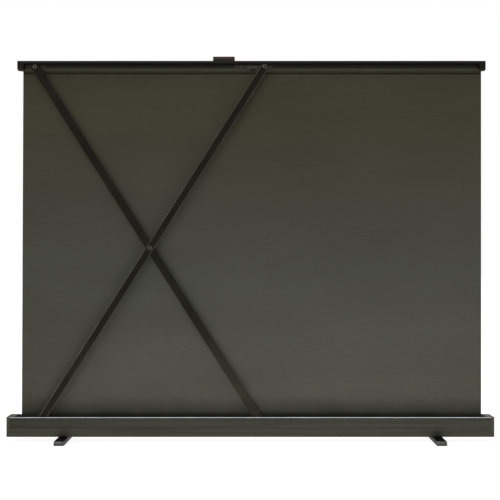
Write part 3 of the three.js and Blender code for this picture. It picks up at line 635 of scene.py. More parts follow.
def marked(tree, colour, first, second, softness, factor, wander):
    """The colour times a factor in a band of height whose limits wander by some metres."""
    level = coordinate(tree, "Z")
    if wander:
        drift = spread(tree, noise(tree, (7, 1, 9)), -wander, wander)
        level = math_of(tree, "ADD", level, drift)
    return dimmed(tree, colour, shares_between(tree, level, first, second, softness), factor)


def cloth_finish(name, colours, colour_scale, specular, polish, depth, tints=(), marks=()):
    """Coated cloth. tints are for its bottom, its middle and its top, and each of the marks holds
    what marked asks for."""
    material, tree, shader = new_finish(name, specular=specular)
    colour = drifting(tree, shader, colours, colour_scale, polish, (18, 18, 18))
    if tints:
        colour = tinted(tree, colour, *tints)
    if marks:
        slubs = spread(tree, noise(tree, slub_scale, 2.0), 0, 1, 0.3, 0.7)
        colour = dimmed(tree, colour, slubs, slub_factor)
    for mark in marks:
        colour = marked(tree, colour, *mark)
    tree.links.new(colour, shader.inputs["Base Color"])
    grain(tree, shader, weave(tree, thread_pitch), depth)
    return material


print("helpers for cloth: 4")

# %% Cloth finishes
# Painted light from the floor: the backing is palest a little below the middle and darker at the
# top.
back_light_tints = ((0.99, 0.995, 1.05), (1.055, 1.08, 1.18), (0.92, 0.88, 0.735))
# Painted shadow of the rail: a dark line across the backing under it.
rail_shadow_line = (1672.9 * mm, 1679.5 * mm, 0.8 * mm, 0.28, 0)
# Painted shade over the slot: the backing darkens towards the case, most of all near the slot.
slot_shade = (-100 * mm, 154 * mm, 46 * mm, 0.42, 9 * mm)
slot_deep_shade = (-100 * mm, 121 * mm, 8 * mm, 0.7, 4 * mm)
back_finish = cloth_finish(
    "woven_backing", ((0.0580, 0.0580, 0.0425), (0.0650, 0.0650, 0.0482)), (1.4, 1, 5),
    0.05, (0.72, 0.86), 0.05 * mm, back_light_tints, [rail_shadow_line, slot_shade, slot_deep_shade],
)
picture_finish = cloth_finish(
    "matte_white", ((0.77, 0.77, 0.765), (0.80, 0.80, 0.795)), (6, 6, 6),
    0.2, (0.8, 0.92), 0.02 * mm,
)
border_finish = cloth_finish(
    "printed_border", ((0.010, 0.010, 0.010), (0.014, 0.014, 0.014)), (6, 6, 6),
    0.15, (0.7, 0.85), 0.02 * mm,
)
print("cloth finishes: 3")

# %% [markdown]
# ## From the frame's solids to finished pieces
#
# The frame's solids have the right size and place, but their edges are knife sharp, and a sharp
# edge never catches light. Nearly every real edge is rolled, pressed or moulded with a small
# radius. So most pieces start as a copy of their solid: doubles merged, flat faces joined, and a
# bevel on every edge that turns by more than thirty degrees. A helper makes such a copy, a second
# one turns the modifiers into plain mesh, and a third hands the piece over to the frame.

# %% Helpers for pieces
merge_distance = 0.004 * mm
flat_angle = 0.4  # degrees
flat_weight = 100


def linked(name, mesh):
    """A new object with this mesh, in the scene."""
    piece = bpy.data.objects.new(name, mesh)
    bpy.context.scene.collection.objects.link(piece)
    return piece


def settled(piece):
    """The same piece as a plain mesh, with its modifiers applied and removed."""
    bpy.context.view_layer.update()
    scene_now = bpy.context.evaluated_depsgraph_get()
    mesh = bpy.data.meshes.new_from_object(
        piece.evaluated_get(scene_now), preserve_all_data_layers=True, depsgraph=scene_now
    )
    piece.modifiers.clear()
    piece.data = mesh
    mesh.name = piece.name
    return piece


def add_bevel(piece, width, steps=2, angle=30):
    """Rounds every edge that turns by more than the angle, in degrees."""
    bevel = piece.modifiers.new("eased_edges", "BEVEL")
    bevel.width = width
    bevel.segments = steps
    bevel.limit_method = "ANGLE"
    bevel.angle_limit = radians(angle)


def ease_edges(piece, width, steps=2):
    """Rounds the edges and smooths the shading. Weighted normals keep the flat faces flat."""
    add_bevel(piece, width, steps)
    weights = piece.modifiers.new("flat_faces", "WEIGHTED_NORMAL")
    weights.mode = "FACE_AREA"
    weights.weight = flat_weight
    for face in piece.data.polygons:
        face.use_smooth = True
    return settled(piece)


def mesh_of(name, work):
    """A mesh from a working mesh, which is freed."""
    mesh = bpy.data.meshes.new(name)
    work.to_mesh(mesh)
    work.free()
    return mesh


def copied_solid(name, node):
    """A copy of a CAD node's shape, merged and with whole flat faces."""
    work = bmesh.new()
    work.from_mesh(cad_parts[node].data)
    bmesh.ops.remove_doubles(work, verts=work.verts, dist=merge_distance)
    bmesh.ops.dissolve_limit(
        work, angle_limit=radians(flat_angle), verts=work.verts, edges=work.edges,
        use_dissolve_boundaries=False,
    )
    return linked(name, mesh_of(name, work))


def hand_over(piece, body, finish, nodes):
    """Gives a piece its finish, its body and the CAD nodes that it stands for."""
    if finish is not None:
        piece.data.materials.clear()
        piece.data.materials.append(finish)
    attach(piece, body)
    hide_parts(*nodes)
    return piece


def eased(name, node, body, finish, width, steps=2):
    """A finished copy of one solid, with rounded edges."""
    piece = ease_edges(copied_solid(name, node), width, steps)
    hand_over(piece, body, finish, [node])
    print(f"{name}: {len(piece.data.polygons)} faces")


print("helpers for pieces: 8")

# %% [markdown]
# ## The case, its ends and its fittings
#
# The case is one long extrusion. Its corners are tight, so its bevel is small. The end caps are
# moulded and rounder. What lies inside is only seen from above, through the slot between the two
# beads, but it gets the same care, since the part is looked at from every side.

# %% Case pieces
case_edge = 0.5 * mm
case_cap_edge = 1.2 * mm
track_edge = 0.25 * mm
plate_edge = 0.4 * mm
bolt_edge = 0.6 * mm

eased("case_body", "case_trough", "case", case_finish, case_edge)
for side in ("left", "right"):
    node = f"case_end_cap_{side}"
    eased(f"end_cap_{side}", node, "case", cap_finish, case_cap_edge, 3)
eased("slider_track", "lower_track", "case", zinc_finish, track_edge)
eased("pivot_stand", "lower_pivot_bracket", "case", zinc_finish, plate_edge)
for side in ("left", "right"):
    node = f"roller_bracket_{side}"
    eased(f"roller_holder_{side}", node, "case", zinc_finish, plate_edge)
    node = f"foot_pivot_{side}"
    eased(f"foot_bolt_{side}", node, "case", screw_finish, bolt_edge, 3)
eased("spring_rod", "spring_mandrel", "case", zinc_finish, plate_edge)

# %% [markdown]
# ## The scissor
#
# Each arm is a flat strip with its rims folded over, so its inside is a shallow channel with round
# ends. The rear arm opens to the back, and its two rims are the bright lines of the photograph.
# The front arm shows its flat side. Both come from their solids with rims rounded as a fold is.

# %% Arms
arm_edge = 0.7 * mm

eased("arm_rear", "rear_arm", "rear_arm", rear_arm_finish, arm_edge, 3)
eased("arm_front", "front_arm", "front_arm", front_arm_finish, arm_edge, 3)

# %% [markdown]
# ## Geometry Nodes for whatever is round or repeats
#
# Rivets, screws, pads and the spring follow rules: a section turned about an axis, or a small part
# set again and again. A node tree states such a rule once, with its sizes as inputs, and a
# modifier fills them in. The helpers below start a tree, end it with Realize Instances and Set
# Material, and run it on an empty mesh with its inputs set by identifier.

# %% Helpers for rules
def new_tree(name, sizes):
    """A tree with named inputs, whole numbers or lengths, and its input node's outputs."""
    tree = bpy.data.node_groups.new(name, "GeometryNodeTree")
    tree.interface.new_socket("Geometry", in_out="OUTPUT", socket_type="NodeSocketGeometry")
    for label, value in sizes.items():
        kind = "NodeSocketInt" if isinstance(value, int) else "NodeSocketFloat"
        tree.interface.new_socket(label, in_out="INPUT", socket_type=kind)
        tree.interface.items_tree[-1].default_value = value
    return tree, tree.nodes.new("NodeGroupInput").outputs


def end_tree(tree, geometry, finish):
    """Ends a tree with whole geometry in one finish."""
    real = add_node(tree, "GeometryNodeRealizeInstances", {"Geometry": geometry})
    painted = add_node(
        tree, "GeometryNodeSetMaterial", {"Geometry": real.outputs[0], "Material": finish}
    )
    tree.links.new(painted.outputs[0], tree.nodes.new("NodeGroupOutput").inputs[0])


def grown(name, tree, values=None):
    """A piece that is an empty mesh with the tree as its rule, its inputs set by identifier."""
    piece = linked(name, bpy.data.meshes.new(name))
    modifier = piece.modifiers.new("rule", "NODES")
    modifier.node_group = tree
    for item in tree.interface.items_tree:
        if item.in_out == "INPUT" and item.name in (values or {}):
            modifier[item.identifier] = values[item.name]
    return piece


print("helpers for rules: 3")


# %% Shapes for rules
def block_in(tree, x, y, z):
    """A block about the origin."""
    size = vector_of(tree, X=x, Y=y, Z=z)
    return add_node(tree, "GeometryNodeMeshCube", {"Size": size}).outputs[0]


def rod_in(tree, sides, radius, length):
    """A rod along Z about the origin."""
    return add_node(
        tree, "GeometryNodeMeshCylinder", {"Vertices": sides, "Radius": radius, "Depth": length}
    ).outputs[0]


def moved_in(tree, geometry, **place):
    """The geometry at the given X, Y and Z."""
    return add_node(
        tree, "GeometryNodeTransform",
        {"Geometry": geometry, "Translation": vector_of(tree, **place)},
    ).outputs[0]


def row_in(tree, shape, count, start, step):
    """The shape again and again, from a start, with a step between."""
    points = add_node(
        tree, "GeometryNodeMeshLine", {"Count": count, "Start Location": start, "Offset": step}
    )
    return add_node(
        tree, "GeometryNodeInstanceOnPoints", {"Points": points.outputs[0], "Instance": shape}
    ).outputs[0]


def swept_in(tree, path, section, closed_ends):
    """The section drawn along the path."""
    return add_node(
        tree, "GeometryNodeCurveToMesh",
        {"Curve": path, "Profile Curve": section, "Fill Caps": closed_ends},
    ).outputs[0]


def both_in(tree, first, second):
    """Two shapes as one."""
    both = add_node(tree, "GeometryNodeJoinGeometry")
    tree.links.new(first, both.inputs[0])
    tree.links.new(second, both.inputs[0])
    return both.outputs[0]


print("shapes for rules: 6")

# %% [markdown]
# ## Turned parts
#
# A rivet, a washer or a bolt is a closed section turned about an axis. The tree puts one point on
# each corner of the section, closes them into a loop, rounds the corners, and sweeps the loop round
# a circle with the radius of the bore. Corners are given as pairs of input names, so one builder
# serves every turned part.

# %% A builder for turned parts
fillet_steps = 3


def turned_tree(name, sizes, corners, finish, rounding, round_steps=40):
    """corners are (radius, level) pairs of names in sizes. The first radius is the bore."""
    tree, given = new_tree(name, {**sizes, "Rounding": rounding, "Steps round": round_steps})
    bore = given[corners[0][0]]
    line = add_node(tree, "GeometryNodeMeshLine", {"Count": len(corners)})
    choice = add_node(tree, "GeometryNodeIndexSwitch", data_type="VECTOR")
    while len(choice.index_switch_items) < len(corners):
        choice.index_switch_items.new()
    tree.links.new(add_node(tree, "GeometryNodeInputIndex").outputs[0], choice.inputs[0])
    for place, (radius, level) in enumerate(corners):
        across = math_of(tree, "SUBTRACT", given[radius], bore)
        down = math_of(tree, "MULTIPLY", given[level], -1.0)
        tree.links.new(vector_of(tree, X=across, Y=down), choice.inputs[place + 1])
    placed = add_node(
        tree, "GeometryNodeSetPosition",
        {"Geometry": line.outputs[0], "Position": choice.outputs[0]},
    )
    loop = add_node(tree, "GeometryNodeMeshToCurve", {0: placed.outputs[0]})
    closed = add_node(tree, "GeometryNodeSetSplineCyclic", {0: loop.outputs[0], "Cyclic": True})
    soft = add_node(
        tree, "GeometryNodeFilletCurve",
        {"Curve": closed.outputs[0], "Radius": given["Rounding"], "Count": fillet_steps,
         "Limit Radius": True},
        mode="POLY",
    )
    circle = add_node(
        tree, "GeometryNodeCurvePrimitiveCircle",
        {"Resolution": given["Steps round"], "Radius": bore},
    )
    swept = swept_in(tree, circle.outputs[0], soft.outputs[0], False)
    smooth = add_node(tree, "GeometryNodeSetShadeSmooth", {0: swept})
    end_tree(tree, smooth.outputs[0], finish)
    return tree


def middle_of(node):
    """The middle of a CAD node's box."""
    low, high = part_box(node)
    return (low + high) / 2


def head_to_back(x, y, z):
    """Lays a part that was turned about Z along Y, head to the back, with its seat at y."""
    return Matrix.Translation((x, y, z)) @ Matrix.Rotation(pi / 2, 4, "X")


def joined(name, parts, body, finish, nodes):
    """One piece from several settled parts of one finish."""
    work = bmesh.new()
    for part in parts:
        work.from_mesh(part.data)
        bpy.data.objects.remove(part)
    bmesh.ops.recalc_face_normals(work, faces=work.faces)
    mesh = mesh_of(name, work)
    for face in mesh.polygons:
        face.use_smooth = True
        face.material_index = 0
    hand_over(linked(name, mesh), body, finish, nodes)
    print(f"{name}: {len(mesh.polygons)} faces")


print("helpers for turned parts: 4")

# %% [markdown]
# ## Rivets and washers
#
# Hollow rivets hold the scissor together. Each is a tube with a rolled head, and the one at the
# crossing has a second head on its far side. They show as pale rings with a dark hole, and the
# hole's darkness is painted shade on the bore. The trees turn their section about Z with the head
# up, and a matrix lays the rivet along Y with its head to the back, at the pivot's place in the
# frame.

# %% Rivets
rivet_sizes = {
    "Bore": 3.2 * mm, "Head": 9 * mm, "Shank": 4 * mm,
    "Head top": 2.4 * mm, "Seat": 0.0, "Shank end": -10 * mm, "Tail end": -12.4 * mm,
}
rivet_rounding = 0.9 * mm
# Inside this radius the plating is painted near black: painted shade in the bore.
bore_shade_radius = 4.4 * mm
head_corners = [("Bore", "Head top"), ("Head", "Head top"), ("Head", "Seat"), ("Shank", "Seat")]
plain_corners = [*head_corners, ("Shank", "Shank end"), ("Bore", "Shank end")]
double_corners = [
    *head_corners, ("Shank", "Shank end"), ("Head", "Shank end"), ("Head", "Tail end"),
    ("Bore", "Tail end"),
]
plain_rivet = turned_tree("rivet", rivet_sizes, plain_corners, rivet_finish, rivet_rounding)
double_rivet = turned_tree(
    "double_rivet", rivet_sizes, double_corners, rivet_finish, rivet_rounding
)


def rivet_in(node):
    """A rivet that fills a CAD rivet's place: its head's top is the node's rear end."""
    low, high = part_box(node)
    middle = middle_of(node)
    seat = low.y + rivet_sizes["Head top"]
    tree, tail = (double_rivet, rivet_sizes["Head top"]) if "centre" in node else (plain_rivet, 0)
    sizes = {"Shank end": -(high.y - seat - tail), "Tail end": -(high.y - seat)}
    piece = settled(grown(node + "_new", tree, sizes))
    # Marks the points of the bore, where the plating is painted near black as painted shade.
    mark = piece.data.attributes.new("bore", "FLOAT", "POINT")
    for vertex in piece.data.vertices:
        mark.data[vertex.index].value = 1.0 if vertex.co.xy.length < bore_shade_radius else 0.0
    piece.data.transform(head_to_back(middle.x, seat, middle.z))
    return piece


for body, nodes in (
    ("rear_arm", ["lower_pivot_rivet", "centre_rivet", "upper_slider_rivet"]),
    ("front_arm", ["upper_pivot_rivet", "lower_slider_rivet"]),
):
    parts = [rivet_in(node) for node in nodes]
    joined(f"rivets_{body}", parts, body, rivet_finish, nodes)

# %% Washers
washer_rounding = 0.3 * mm
shank_gap = 0.3 * mm
rivet_hole = rivet_sizes["Shank"] + shank_gap
foot_bolt_hole = 5.3 * mm
washer_tree = turned_tree(
    "washer", {"Bore": rivet_hole, "Rim": 11 * mm, "Top": 1.0 * mm, "Bottom": 0.0},
    [("Bore", "Top"), ("Rim", "Top"), ("Rim", "Bottom"), ("Bore", "Bottom")],
    nylon_finish, washer_rounding,
)


def washer_in(node, bore, along_z=False):
    """A washer that fills a CAD washer's place, along Y or along Z."""
    low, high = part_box(node)
    size = high - low
    thickness = size.z if along_z else size.y
    sizes = {"Bore": bore, "Rim": size.x / 2, "Top": thickness, "Bottom": 0.0}
    piece = settled(grown(node + "_new", washer_tree, sizes))
    middle = middle_of(node)
    if along_z:
        piece.data.transform(Matrix.Translation((middle.x, middle.y, low.z)))
    else:
        piece.data.transform(head_to_back(middle.x, high.y, middle.z))
    return piece


for body, nodes in (
    ("rear_arm", ["lower_pivot_washer", "centre_washer", "upper_slider_spacer"]),
    ("front_arm", ["upper_pivot_washer", "lower_slider_washer"]),
):
    parts = [washer_in(node, rivet_hole) for node in nodes]
    joined(f"washers_{body}", parts, body, nylon_finish, nodes)
for side in ("left", "right"):
    node = f"foot_washer_{side}"
    part = washer_in(node, foot_bolt_hole, along_z=True)
    joined(f"foot_disc_{side}", [part], "case", nylon_finish, [node])

# %% [markdown]
# ## Screws
#
# The case caps, the pivot bracket and the grip are held by cross-head screws. A cross recess is two
# crossed slots cut into the head, which is a Boolean in the tree. The head's edge is rounded by a
# bevel after the tree, because a tree has no bevel of its own.

# %% A rule for screws
screw_sizes = {
    "Head radius": 4 * mm, "Head height": 2.5 * mm, "Shank radius": 1.75 * mm,
    "Shank length": 11.7 * mm, "Slot width": 1.1 * mm, "Slot depth": 1.3 * mm,
}
slot_share = 1.25  # a slot's length in shares of the head's radius


def screw_tree():
    """A cross-head screw with the top of its head at Z 0 and its shank down."""
    tree, given = new_tree("cross_head_screw", screw_sizes)
    head = rod_in(tree, 32, given["Head radius"], given["Head height"])
    head = moved_in(tree, head, Z=math_of(tree, "MULTIPLY", given["Head height"], -0.5))
    half_shank = math_of(tree, "MULTIPLY", given["Shank length"], -0.5)
    shank = rod_in(tree, 16, given["Shank radius"], given["Shank length"])
    shank = moved_in(tree, shank, Z=math_of(tree, "SUBTRACT", half_shank, given["Head height"]))
    slot_length = math_of(tree, "MULTIPLY", given["Head radius"], slot_share)
    slot_height = math_of(tree, "MULTIPLY", given["Slot depth"], 2.0)
    cut = add_node(
        tree, "GeometryNodeMeshBoolean", {0: head}, operation="DIFFERENCE", solver="EXACT"
    )
    for along, across in ((slot_length, given["Slot width"]), (given["Slot width"], slot_length)):
        tree.links.new(block_in(tree, along, across, slot_height), cut.inputs[1])
    end_tree(tree, both_in(tree, cut.outputs[0], shank), screw_finish)
    return tree


screw_rule = screw_tree()
print("a rule for screws, with inputs:", ", ".join(screw_sizes))

# %% Screws
screw_edge = 0.35 * mm
screw_edge_angle = 40
low_head = {
    "Head radius": 4.5 * mm, "Head height": 1.2 * mm, "Shank length": 5.0 * mm,
    "Slot depth": 0.7 * mm,
}
grip_screw = {**low_head, "Shank length": 9.1 * mm}


def screws(name, body, nodes, turn, axis, end, sizes=None):
    """Screws in some nodes' places. turn points +Z out of the head. The head's top is at the low
    end (0) or at the high end (1) of the node along the axis."""
    parts = []
    for node in nodes:
        part = grown(node + "_new", screw_rule, {**screw_sizes, **(sizes or {})})
        add_bevel(part, screw_edge, angle=screw_edge_angle)
        top = middle_of(node)
        top[axis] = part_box(node)[end][axis]
        settled(part).data.transform(Matrix.Translation(top) @ turn)
        parts.append(part)
    joined(name, parts, body, screw_finish, nodes)


for side, sign, end in (("left", -1, 0), ("right", 1, 1)):
    nodes = [f"case_cap_screw_{side}_{level}" for level in ("low", "high")]
    screws(f"cap_screws_{side}", "case", nodes, Matrix.Rotation(sign * pi / 2, 4, "Y"), 0, end)
screws(
    "bracket_screws", "rail", ["pivot_bracket_screw_left", "pivot_bracket_screw_right"],
    Matrix.Rotation(pi / 2, 4, "X"), 1, 0, low_head,
)
screws(
    "grip_screws", "rail", ["grip_screw_left", "grip_screw_right"],
    Matrix.Rotation(pi, 4, "X"), 2, 0, grip_screw,
)

# %% [markdown]
# ## The rail, its ends and the grip
#
# The rail is an extrusion with a lip that hangs down behind, a track for the sliding pivot, and a
# fascia in front. Its caps have rounded lower corners. The grip is a moulded bar on a neck, over a
# plate that folds down behind the lip. Its fine ribs keep a wet hand from slipping.

# %% Rail pieces
rail_edge = 0.35 * mm
rail_cap_edge = 0.8 * mm
hem_bar_edge = 0.8 * mm
clamp_edge = 0.3 * mm

eased("rail_body", "top_rail", "rail", rail_finish, rail_edge)
for side in ("left", "right"):
    node = f"rail_end_cap_{side}"
    eased(f"rail_cap_{side}", node, "rail", rail_cap_finish, rail_cap_edge, 3)
eased("pivot_plate", "upper_pivot_bracket", "rail", bracket_finish, plate_edge)
eased("hem_bar", "hem_batten", "rail", batten_finish, hem_bar_edge, 3)
eased("hem_clamp", "hem_clamp_strip", "rail", rail_finish, clamp_edge)
eased("grip_plate", "grip_bracket", "rail", grip_plate_finish, plate_edge)

# %% Grip
grip_edge = 1.6 * mm
rib_row = 84 * mm
rib_spacing = 3.0 * mm
rib_width = 1.2 * mm
rib_length = 7 * mm
rib_relief = 0.1 * mm  # how far the ribs stand out of the grip's rear face
rib_level = 7 * mm  # under the grip's top


def ribs_tree():
    """A row of round ribs along X, from half the length to the left of the origin."""
    tree, given = new_tree("grip_ribs", {
        "Length": rib_row, "Spacing": rib_spacing, "Rib width": rib_width,
        "Rib length": rib_length,
    })
    count = math_of(tree, "DIVIDE", given["Length"], given["Spacing"])
    start = vector_of(tree, X=math_of(tree, "MULTIPLY", given["Length"], -0.5))
    radius = math_of(tree, "MULTIPLY", given["Rib width"], 0.5)
    rib = rod_in(tree, 12, radius, given["Rib length"])
    row = row_in(tree, rib, count, start, vector_of(tree, X=given["Spacing"]))
    end_tree(tree, row, grip_finish)
    return tree


grip_low, grip_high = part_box("pull_grip")
grip_body = ease_edges(copied_solid("grip_body", "pull_grip"), grip_edge, 3)
ribs = settled(grown("ribs", ribs_tree()))
rib_middle = Vector((
    (grip_low.x + grip_high.x) / 2,
    grip_low.y + rib_width / 2 - rib_relief,
    grip_high.z - rib_level,
))
ribs.data.transform(Matrix.Translation(rib_middle))
joined("hand_grip", [grip_body, ribs], "rail", grip_finish, ["pull_grip"])

# %% [markdown]
# ## The sliding pivots
#
# The rear arm's upper end slides in the rail and the front arm's lower end slides in the case. Each
# has a plate. The upper plate carries two ribbed nylon pads and three short nylon studs that keep
# it off the track's lips, and these are the row of pale marks in the rail. The ribs repeat, so a
# tree sets one on each point of a line. The studs are turned parts, and the plates eased copies.

# %% Carriages
upper_slide_edge = 0.35 * mm
lower_slide_edge = 0.5 * mm

eased(
    "upper_slide", "upper_carriage", "upper_carriage", slide_finish,
    upper_slide_edge,
)
eased(
    "lower_slide", "lower_carriage", "lower_carriage", zinc_finish,
    lower_slide_edge, 3,
)

# %% A rule for ribbed pads
pad_ribs = 5
pad_base = 0.5  # share of the pad's thickness under the ribs
pad_rib_share = 0.56  # share of the pitch that a rib takes


def pad_tree():
    """A base plate with ribs across it, from X 0 to the length, with its back at Y 0."""
    tree, given = new_tree("ribbed_pad", {
        "Length": 22 * mm, "Thickness": 1.1 * mm, "Height": 12 * mm,
        "Ribs": pad_ribs, "Base share": pad_base,
    })
    base_depth = math_of(tree, "MULTIPLY", given["Thickness"], given["Base share"])
    half_base = math_of(tree, "MULTIPLY", base_depth, 0.5)
    base = moved_in(
        tree, block_in(tree, given["Length"], base_depth, given["Height"]),
        X=math_of(tree, "MULTIPLY", given["Length"], 0.5),
        Y=math_of(tree, "SUBTRACT", given["Thickness"], half_base),
    )
    pitch = math_of(tree, "DIVIDE", given["Length"], given["Ribs"])
    rib_size = math_of(tree, "MULTIPLY", pitch, pad_rib_share)
    rib = block_in(tree, rib_size, given["Thickness"], given["Height"])
    first = vector_of(
        tree, X=math_of(tree, "MULTIPLY", pitch, 0.5),
        Y=math_of(tree, "MULTIPLY", given["Thickness"], 0.5),
    )
    row = row_in(tree, rib, given["Ribs"], first, vector_of(tree, X=pitch))
    end_tree(tree, both_in(tree, base, row), nylon_finish)
    return tree


pad_rule = pad_tree()
print("a rule for ribbed pads:", pad_ribs, "ribs")

# %% Ribbed pads and studs
pad_edge = 0.12 * mm
stud_radius = 4.2 * mm
stud_height = 1.0 * mm
stud_rounding = 0.8 * mm
stud_middle = 0.2 * mm
stud_places = (-63 * mm, -43 * mm, 91 * mm)
stud_tree = turned_tree(
    "stud", {"Middle": stud_middle, "Rim": stud_radius, "Top": stud_height, "Foot": 0.0},
    [("Middle", "Top"), ("Rim", "Top"), ("Rim", "Foot"), ("Middle", "Foot")],
    nylon_finish, stud_rounding, 24,
)
pad_nodes = ["glide_pad_left", "glide_pad_right"]
parts = []
for node in pad_nodes:
    low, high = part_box(node)
    size = high - low
    pad = grown(
        node + "_new", pad_rule, {"Length": size.x, "Thickness": size.y, "Height": size.z}
    )
    add_bevel(pad, pad_edge)
    settled(pad).data.transform(Matrix.Translation((low.x, low.y, middle_of(node).z)))
    parts.append(pad)
stud_level = middle_of(pad_nodes[0]).z
for place in stud_places:
    stud = settled(grown("stud", stud_tree))
    stud.data.transform(head_to_back(place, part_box("upper_carriage")[0].y, stud_level))
    parts.append(stud)
joined("glide_pads", parts, "upper_carriage", nylon_finish, pad_nodes)

# %% [markdown]
# ## The feet
#
# Each foot is a folded steel channel with a moulded cap at either end. The cap's outer face has two
# grooves across it, the lines that show in the photograph, so its section is drawn with notches.

# %% Foot bars
foot_edge = 0.9 * mm

for side in ("left", "right"):
    node = f"foot_bar_{side}"
    eased(f"foot_channel_{side}", node, f"{side}_foot", foot_finish, foot_edge, 3)

# %% Foot caps
foot_cap_edge = 0.5 * mm
groove_depth = 1.3 * mm
groove_heights = (5.2 * mm, 9.4 * mm)
groove_half = 0.7 * mm
cap_chamfer = 5 * mm
cap_flange = 6 * mm
insert_gap = 0.3 * mm
foot_wall = 2.5 * mm


def drawn(name, section, start, end):
    """A solid with a section of (Y, Z) corners, drawn from one X to another, edges eased."""
    work = bmesh.new()
    ends = [[work.verts.new((x, y, z)) for y, z in section] for x in (start, end)]
    for corners in ends:
        work.faces.new(corners)
    for first in range(len(section)):
        second = (first + 1) % len(section)
        work.faces.new((ends[0][first], ends[0][second], ends[1][second], ends[1][first]))
    bmesh.ops.recalc_face_normals(work, faces=work.faces)
    return ease_edges(linked(name, mesh_of(name, work)), foot_cap_edge)


def foot_cap(name, node, body, outward):
    """A cap whose outer face points along Y in the given direction, -1 or 1."""
    low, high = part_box(node)
    face, insert_end = (low.y, high.y) if outward < 0 else (high.y, low.y)
    inner = face - outward * cap_flange
    groove = face - outward * groove_depth
    section = [(inner, 0), (face, 0)]
    for height in groove_heights:
        under, over = height - groove_half, height + groove_half
        section += [(face, under), (groove, under), (groove, over), (face, over)]
    section += [(face, high.z - cap_chamfer), (face - outward * cap_chamfer, high.z)]
    section += [(inner, high.z)]
    cap = drawn(name, section, low.x, high.x)
    inset = foot_wall + insert_gap
    top = high.z - inset
    insert_section = [(inner, 0), (insert_end, 0), (insert_end, top), (inner, top)]
    insert = drawn(name + "_insert", insert_section, low.x + inset, high.x - inset)
    joined(name, [cap, insert], body, foot_cap_finish, [node])


for side in ("left", "right"):
    for end, outward in (("rear", -1), ("front", 1)):
        foot_cap(f"foot_end_{side}_{end}", f"foot_cap_{side}_{end}", f"{side}_foot", outward)

# %% [markdown]
# ## The roller
#
# Inside the case a tube winds up the cloth. The turns that stay on it when the screen is up are a
# spiral, so a node tree draws that spiral and sweeps the cloth's thin section along it. Inside the
# tube, the torsion spring is a helix whose first turn closes on the rod and whose last turn opens
# to the tube, and the same tree idea serves again.

# %% Tube and plugs
tube_edge = 0.3 * mm
plug_edge = 0.5 * mm

eased("tube", "roller_tube", "roller", zinc_finish, tube_edge)
for side in ("left", "right"):
    node = f"roller_plug_{side}"
    eased(f"tube_plug_{side}", node, "roller", batten_finish, plug_edge)

# %% Wound cloth
cloth_width = 2100 * mm
cloth_thickness = 0.35 * mm
layer_pitch = 0.65 * mm
wound_turns = 2
outer_layer = 21.275 * mm


def spiral_tree():
    """The wound cloth, with its axis along Z."""
    tree, given = new_tree("wound_cloth", {
        "Width": cloth_width, "Thickness": cloth_thickness, "Turns": float(wound_turns),
        "Outer layer": outer_layer, "Layer pitch": layer_pitch, "Steps a turn": 72,
    })
    growth = math_of(tree, "MULTIPLY", given["Turns"], given["Layer pitch"])
    spiral = add_node(tree, "GeometryNodeCurveSpiral", {
        "Resolution": given["Steps a turn"], "Rotations": given["Turns"], "Height": 0.0,
        "Start Radius": math_of(tree, "SUBTRACT", given["Outer layer"], growth),
        "End Radius": given["Outer layer"],
    })
    section = add_node(
        tree, "GeometryNodeCurvePrimitiveQuadrilateral",
        {"Width": given["Thickness"], "Height": given["Width"]},
    )
    end_tree(tree, swept_in(tree, spiral.outputs[0], section.outputs[0], True), back_finish)
    return tree


def cloth_map(mesh, run):
    """A UV map in metres: across the cloth along X, and along its run on the other axis."""
    layer = mesh.uv_layers.new(name="cloth")
    for loop in mesh.loops:
        place = mesh.vertices[loop.vertex_index].co
        layer.data[loop.index].uv = (place.x, run(place))


def run_round(place):
    """How far the cloth runs round the roller to this place."""
    return atan2(place.z - roller_middle.z, roller_middle.y - place.y) * outer_layer


roller_middle = middle_of("roller_tube")
roll = settled(grown("cloth_roll", spiral_tree()))
# The spiral's X, Y and axis become -Y, -Z and X of the frame.
onto_roller = Matrix(((0, 0, 1, 0), (-1, 0, 0, 0), (0, -1, 0, 0), (0, 0, 0, 1)))
roll.data.transform(Matrix.Translation(roller_middle) @ onto_roller)
cloth_map(roll.data, run_round)
for face in roll.data.polygons:
    face.use_smooth = abs(face.normal.x) < 0.5  # the cut edges stay flat
hand_over(roll, "roller", back_finish, ["wound_fabric"])

# %% Torsion spring
spring_turns = 22
spring_radius = 11 * mm
spring_wire = 1.6 * mm
spring_length = 308 * mm
spring_inset = 60 * mm  # from the tube's left end
grip_share = 0.58  # the first turn's radius, which grips the rod
anchor_share = 1.45  # the last turn's radius, which reaches the tube


